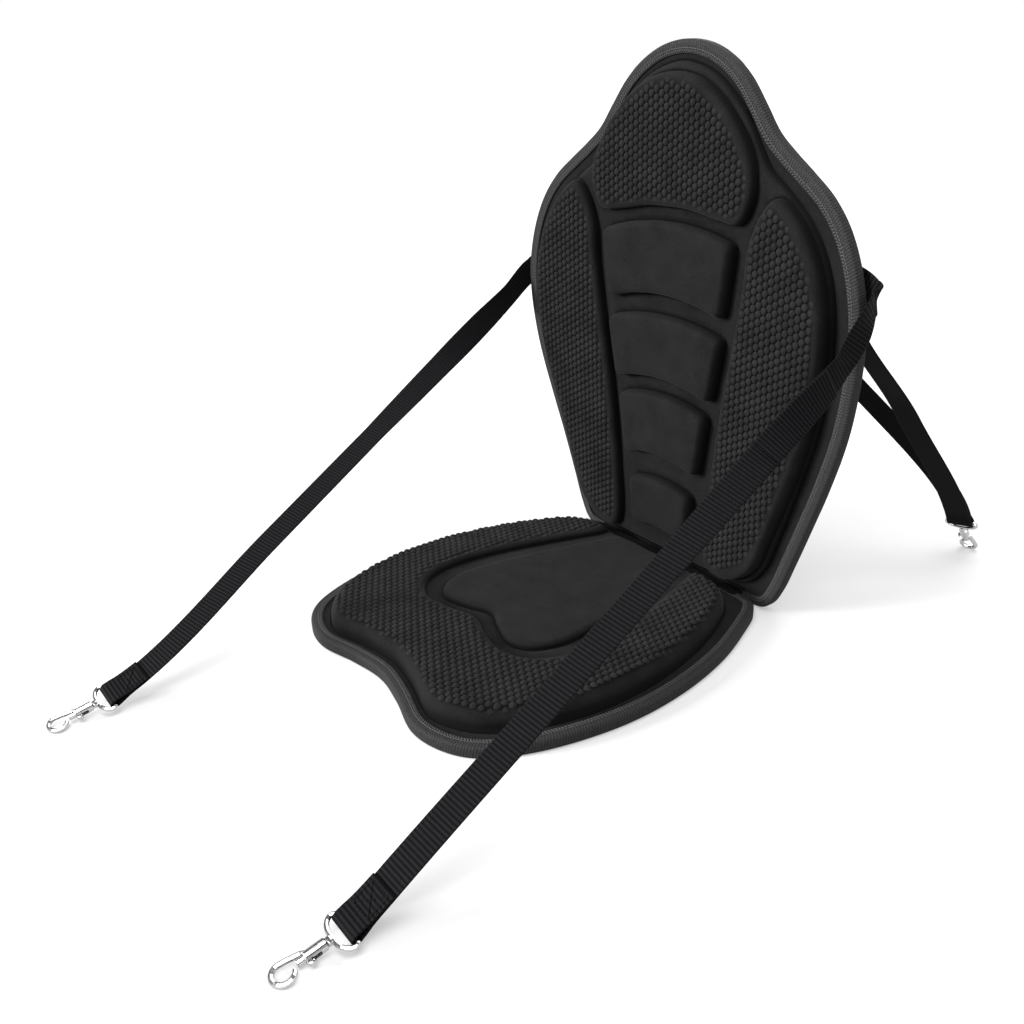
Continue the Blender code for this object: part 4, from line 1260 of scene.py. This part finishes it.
@dataclass
class Harness:
    """Front straps, their tail, the rear strap and the patches behind the backrest."""

    back: Backrest
    finishes: Finishes
    snaps: dict[str, SnapPlace]
    web_t: float = 0.0015
    clear: float = 0.0003
    fold_back: float = 0.034
    rim_half: float = 0.2215
    sewn_at: tuple[float, float] = (0.150, 0.348)
    rim_at: dict[Side, tuple[float, float, float, float]] = field(default_factory=lambda: {
        Side.LEFT: (0.287, 0.024, 0.0028, 1.7), Side.RIGHT: (0.318, 0.042, 0.0016, 1.0)})
    patches: tuple[tuple[float, float, float, float], ...] = (
        (-0.170, -0.118, 0.318, 0.374), (0.118, 0.170, 0.318, 0.374), (-0.026, 0.026, 0.372, 0.422))
    patch_face: float = 0.0014
    hem: float = 0.003
    seam: float = 0.018
    seam_to_band_end: float = 0.016
    seam_to_fold_end: float = 0.003
    fold_spans: int = 5
    made: list[Object] = field(default_factory=list)

    def behind(self, u: float, v: float, layers: float = 1) -> Vector:
        """Return a point behind the backrest, in the middle of a webbing layer."""
        layer = self.web_t + self.clear
        out = self.back.tape_t + 3 * self.clear + self.web_t / 2 + layer * (layers - 1)
        return Vector(self.back.place(u, v, -out))

    def eye_end(self, snap: SnapPlace, towards: Vector | None = None) -> list[Station]:
        """Return the stations that bring webbing round an eye's bar and back on itself.

        Args:
            snap: The snap that the webbing holds.
            towards: Where the webbing comes from, or None for the snap's own direction.
        """
        at = snap.frame()
        across, _, away = at.to_3x3().transposed()
        bar = at @ Vector((0, 0, snap.eye_bar))
        if towards is not None:
            away = squared(towards - bar, across)
        off = away.cross(across)
        turn = snap.eye_wire + 0.0005 + self.web_t / 2
        lay = (self.web_t + self.clear) / 2 + 0.0001
        steps = [(0.030, lay), (0.014, lay + 0.0007), (0.005, turn), (0.0, turn + 0.0002),
                 (-turn * .72, turn * .72), (-turn, 0), (-turn * .72, -turn * .72), (0.0, -turn - 0.0002),
                 (0.005, -turn), (0.014, -lay - 0.0007), (self.fold_back, -lay)]
        return [Station(bar + away * along + off * out, across) for along, out in steps]

    def front_stations(self, side: Side, snap: SnapPlace) -> list[Station]:
        """Return a front strap's stations from behind the backrest to its snap."""
        s, down = side.value, Vector((0, 0, -1))
        rim_v, drop, out, layers = self.rim_at[side]
        rim = self.rim_half + self.web_t / 2 + out
        place = self.back.place
        near = (rim - .0085, rim_v + .008)
        middle = (self.sewn_at[0] + near[0]) / 2, (self.sewn_at[1] + near[1]) / 2
        first = [self.behind(s * u, v, n) for (u, v), n in ((self.sewn_at, 1), (middle, 1), (near, layers))]
        first += [Vector((s * (rim - .0020), place(rim, .32, -.0026)[1], rim_v + .0035)),
                  Vector((s * rim, place(rim, .32, .0025)[1], rim_v)),
                  Vector((s * (rim + .0005), place(rim, .3, .035)[1], rim_v - drop))]
        start = [Station(at, down) for at in first]
        end = self.eye_end(snap, first[-1])
        a, b = first[-1], end[0].at
        along = (b - a).normalized()
        level = Vector((-along.y, along.x, 0)).normalized()
        raised = level.cross(along)
        run = []
        for share, angle in ((.10, 62), (.22, 32), (.42, 10), (.70, 4 + snap.roll * .5)):
            turn = math.radians(angle)
            run.append(Station(a.lerp(b, share), level * math.cos(turn) + raised * math.sin(turn)))
        return start + run + end

    def lying_on(self, stations: list[Station], k: int, share: float) -> Station:
        """Return a station of a second layer on a strap's outer face."""
        points = [tuple(stations[k + j].at) for j in (-1, 0, 1, 2)]
        at, ahead = (strap_point(*points, share + step) for step in (0, .02))
        across = stations[k].across.lerp(stations[k + 1].across, share)
        across = squared(across, along := (ahead - at).normalized())
        return Station(at + along.cross(across) * (self.web_t + 2 * self.clear), across)

    def rear_stations(self, snap: SnapPlace) -> tuple[list[Station], list[Station]]:
        """Return the rear strap's two legs, from the right patch and to the middle patch."""
        end, u = self.eye_end(snap), .168
        sideways = Vector((-1, 2 * self.back.dish * u, 0)).normalized()
        first = [self.behind(u, .372, 2), self.behind(u, .357, 2.4),
                 self.behind(u, .336, 3) + Vector((.0005, .004, 0))]
        start = [Station(at, sideways) for at in first]
        mid = first[-1].lerp(end[0].at, .55) + Vector((0, 0, -.002))
        right = start + [Station(mid, sideways.lerp(end[0].across, .6))] + end[:6]
        below = end[-2].at - snap.frame().to_3x3() @ Vector((0, .0002, -.010))
        slanted = Vector((-.9, 0, -.45))
        top = [self.behind(.012, .376) + Vector((0, .004, 0)), self.behind(.006, .390),
               self.behind(-.004, .412)]
        far = top[0].lerp(below, .45) + Vector((0, .004, -.004))
        left = end[5:-1] + [Station(below, end[-1].across), Station(far, Vector((-.95, -.05, -.3)))]
        return right, left + [Station(at, slanted) for at in top]

    def declare(self, strap: Strap, piece: Object, nodes: Sequence[str]) -> None:
        """Hide the solids that a strap stands for, and keep its piece.

        Args:
            strap: The strap's own sizes.
            piece: Its mesh.
            nodes: The nodes that it replaces.
        """
        if nodes:
            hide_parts(*nodes)
        self.keep(piece)
        path = [s.at for s in strap.line()]
        strap.length()
    def keep(self, piece: Object) -> Object:
        """Attach a piece to the seat, and keep it."""
        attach(piece, BODY)
        self.made.append(piece)
        return piece

    def sew(self, name: str, stitches: list[Stitch]) -> Object:
        """Sew through the webbing with black thread."""
        piece = sewn(name, stitches, self.finishes.black_thread)
        self.made.append(piece)
        return piece

    def sew_patches(self) -> None:
        """Sew the three patches down."""
        stitches = []
        for u0, u1, v0, v1 in self.patches:
            left, right, low, high = u0 + self.hem, u1 - self.hem, v0 + self.hem, v1 - self.hem
            stitches += box_stitches([(left, low), (right, low), (right, high), (left, high)],
                                     lambda u, v: Vector(self.back.place(u, v, -self.patch_face)))
        self.sew("patch_stitches", stitches)

    def build(self) -> list[Object]:
        """Build all the webbing, and hide the solids that it stands for."""
        self.sew_patches()
        coils = {key: snap.build_spring(self.finishes.spring) for key, snap in self.snaps.items()}
        self.made += coils.values()
        ribbed = self.finishes.ribbed
        for side, key in ((Side.LEFT, "front_left"), (Side.RIGHT, "front_right")):
            stations = self.front_stations(side, self.snaps[key])
            name = f"front_strap_{side.name.lower()}"
            split = len(stations) - 1 - self.fold_spans
            strap = Strap(f"{name}_webbing", stations[:split + 1], ribbed)
            fold = Strap(f"{name}_fold", stations[split:], ribbed)
            far, near = strap.length() - self.seam_to_band_end, fold.length() - self.seam_to_fold_end
            folded = self.keep(fold.build())
            seam = strap.box(far - self.seam, far, -1) + fold.box(near - self.seam, near, -1)
            on_it = [folded, self.sew(f"{name}_end_stitches", seam), coils[key]]
            on_it += [f"{key}_snap_{part}" for part in ("hook", "bolt", "eye")]
            if side is Side.RIGHT:
                tail = [self.lying_on(stations, k, share)
                        for k, share in ((5, .35), (5, .65), (5, 1.0), (6, .25), (6, .5), (6, .8))]
                over = self.keep(Strap("front_strap_right_tail_webbing", tail, ribbed).build())
                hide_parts("front_strap_right_tail")
                on_it.append(over)
            self.declare(strap, strap.build(), [name])
        right, left = self.rear_stations(self.snaps["rear"])
        on_it = [coils["rear"]] + [f"rear_snap_{part}" for part in ("hook", "bolt", "eye")]
        for name, stations, nodes, pieces, far_end in (
                ("rear_strap_right_leg", right, ["rear_strap"], on_it, "fitting"),
                ("rear_strap_left_leg", left, [], [], "object")):
            strap = Strap(name, stations, self.finishes.twill, rib_pitch=0.0021, rib_depth=0.00012)
            self.declare(strap, strap.build(), nodes)
        return self.made


# Staging

@dataclass(frozen=True)
class Studio:
    """Floor, lights and camera of the reference view."""

    azimuth: float = 55.5688
    elevation: float = 24.5694
    roll: float = -0.0440406
    camera_at: tuple[float, float, float] = (0.68195, -0.4905, 0.5)
    focal_px: float = 979.414
    image_px: int = 1024

    def camera(self) -> None:
        """Place the camera at the photograph's point and turn."""
        a, e = math.radians(self.azimuth), math.radians(self.elevation)
        forward = Vector((-math.sin(a) * math.cos(e), math.cos(a) * math.cos(e), -math.sin(e)))
        right = Vector((math.cos(a), math.sin(a), 0))
        up = right.cross(forward)
        c, s = math.cos(self.roll), math.sin(self.roll)
        right, up = right * c + up * s, up * c - right * s
        lens = bpy.data.cameras.new("camera")
        lens.sensor_width = 36
        lens.lens = self.focal_px / self.image_px * lens.sensor_width
        lens.clip_start, lens.clip_end = 0.02, 60
        holder = added("camera", lens)
        turn = Matrix((right, up, -forward)).transposed().to_4x4()
        holder.matrix_world = Matrix.Translation(self.camera_at) @ turn
        bpy.context.scene.camera = holder

    def floor(self) -> None:
        """Lay a plain pale floor that glows a little, as a lit paper sweep does."""
        paper = Look("studio_floor", (0.25, 0.25, 0.25), 0.9, {
            "Specular IOR Level": 0.05, "Emission Color": (1, 1, 1, 1), "Emission Strength": 0.34})
        size, low = 40.0, -0.0001
        verts = [(-size, -size, low), (size, -size, low), (size, size, low), (-size, size, low)]
        mesh_object("studio_floor", verts, [(0, 1, 2, 3)], paper.material)

    def room(self) -> None:
        """Surround the floor with light that is white at the horizon and dim overhead."""
        world = bpy.data.worlds.new("studio")
        world.use_nodes = True
        sky = Graph(world.node_tree)
        toward = sky.node("ShaderNodeTexCoord").outputs["Generated"]
        height = sky.node("ShaderNodeSeparateXYZ", {"Vector": toward}).outputs[2]
        ramp = sky.node("ShaderNodeValToRGB", {"Fac": height})
        stops = ramp.color_ramp.elements
        stops[0].position, stops[0].color = 0.14, (1, 1, 1, 1)
        stops[1].position, stops[1].color = 0.42, (0.16, 0.16, 0.17, 1)
        sky.tree.links.new(ramp.outputs["Color"], sky.tree.nodes["Background"].inputs["Color"])
        bpy.context.scene.world = world

    def sun(self, name: str, out_of: Sequence[float], strength: float, spread: float) -> None:
        """Add a soft light that falls evenly over the whole floor.

        Args:
            name: The light's name.
            out_of: The direction that it comes from.
            strength: Its strength in watts for each square metre.
            spread: How wide it looks, in degrees.
        """
        lamp = bpy.data.lights.new(name, "SUN")
        lamp.energy, lamp.angle = strength, math.radians(spread)
        holder = added(name, lamp)
        holder.location = out_of
        holder.rotation_euler = (-Vector(out_of)).to_track_quat("-Z", "Y").to_euler()

    def build(self) -> None:
        """Set up the whole studio."""
        bpy.context.scene.view_settings.view_transform = "Standard"
        self.room()
        self.floor()
        for name, out_of, strength, spread in (
                ("key", (-0.45, -0.80, 0.30), 10.0, 18), ("overhead", (0.15, -0.25, 1.0), 6.0, 50),
                ("rear fill", (-0.35, 0.80, 0.50), 3.0, 60), ("side fill", (0.90, -0.40, 0.45), 2.2, 45)):
            self.sun(name, out_of, strength, spread)
        self.camera()


def dress_nodes(finishes: Finishes) -> None:
    """Give the nodes that stay their own finishes."""
    for name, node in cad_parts.items():
        if node.hide_render:
            continue
        finish = finishes.twill
        if name == "hinge_cloth":
            finish = finishes.hinge
        elif "snap" in name:
            finish = finishes.nickel
        node.data.materials.clear()
        node.data.materials.append(finish)


def main() -> None:
    """Build the dressed seat, sub-assembly by sub-assembly."""
    logging.basicConfig(level=logging.INFO, format="%(name)s: %(message)s")
    finishes = Finishes.make()
    Studio().build()
    snaps = {place.name: place for place in (
        SnapPlace("front_left", (-.111, -.612), (-.070, .990, .147), 14),
        SnapPlace("front_right", (.245, -.561), (-.060, .990, .130), 5),
        SnapPlace("rear", (.183, .277), (.06, -.62, .78), 8))}
    seat = SeatBase("seat", finishes)
    back = Backrest("backrest", finishes)
    harness = Harness(back, finishes, snaps)
    for assembly in (seat, back, harness):
        for piece in assembly.build():
            LOG.info("%s: %d faces", piece.name, len(piece.data.polygons))
    dress_nodes(finishes)


if __name__ == "__main__":
    main()
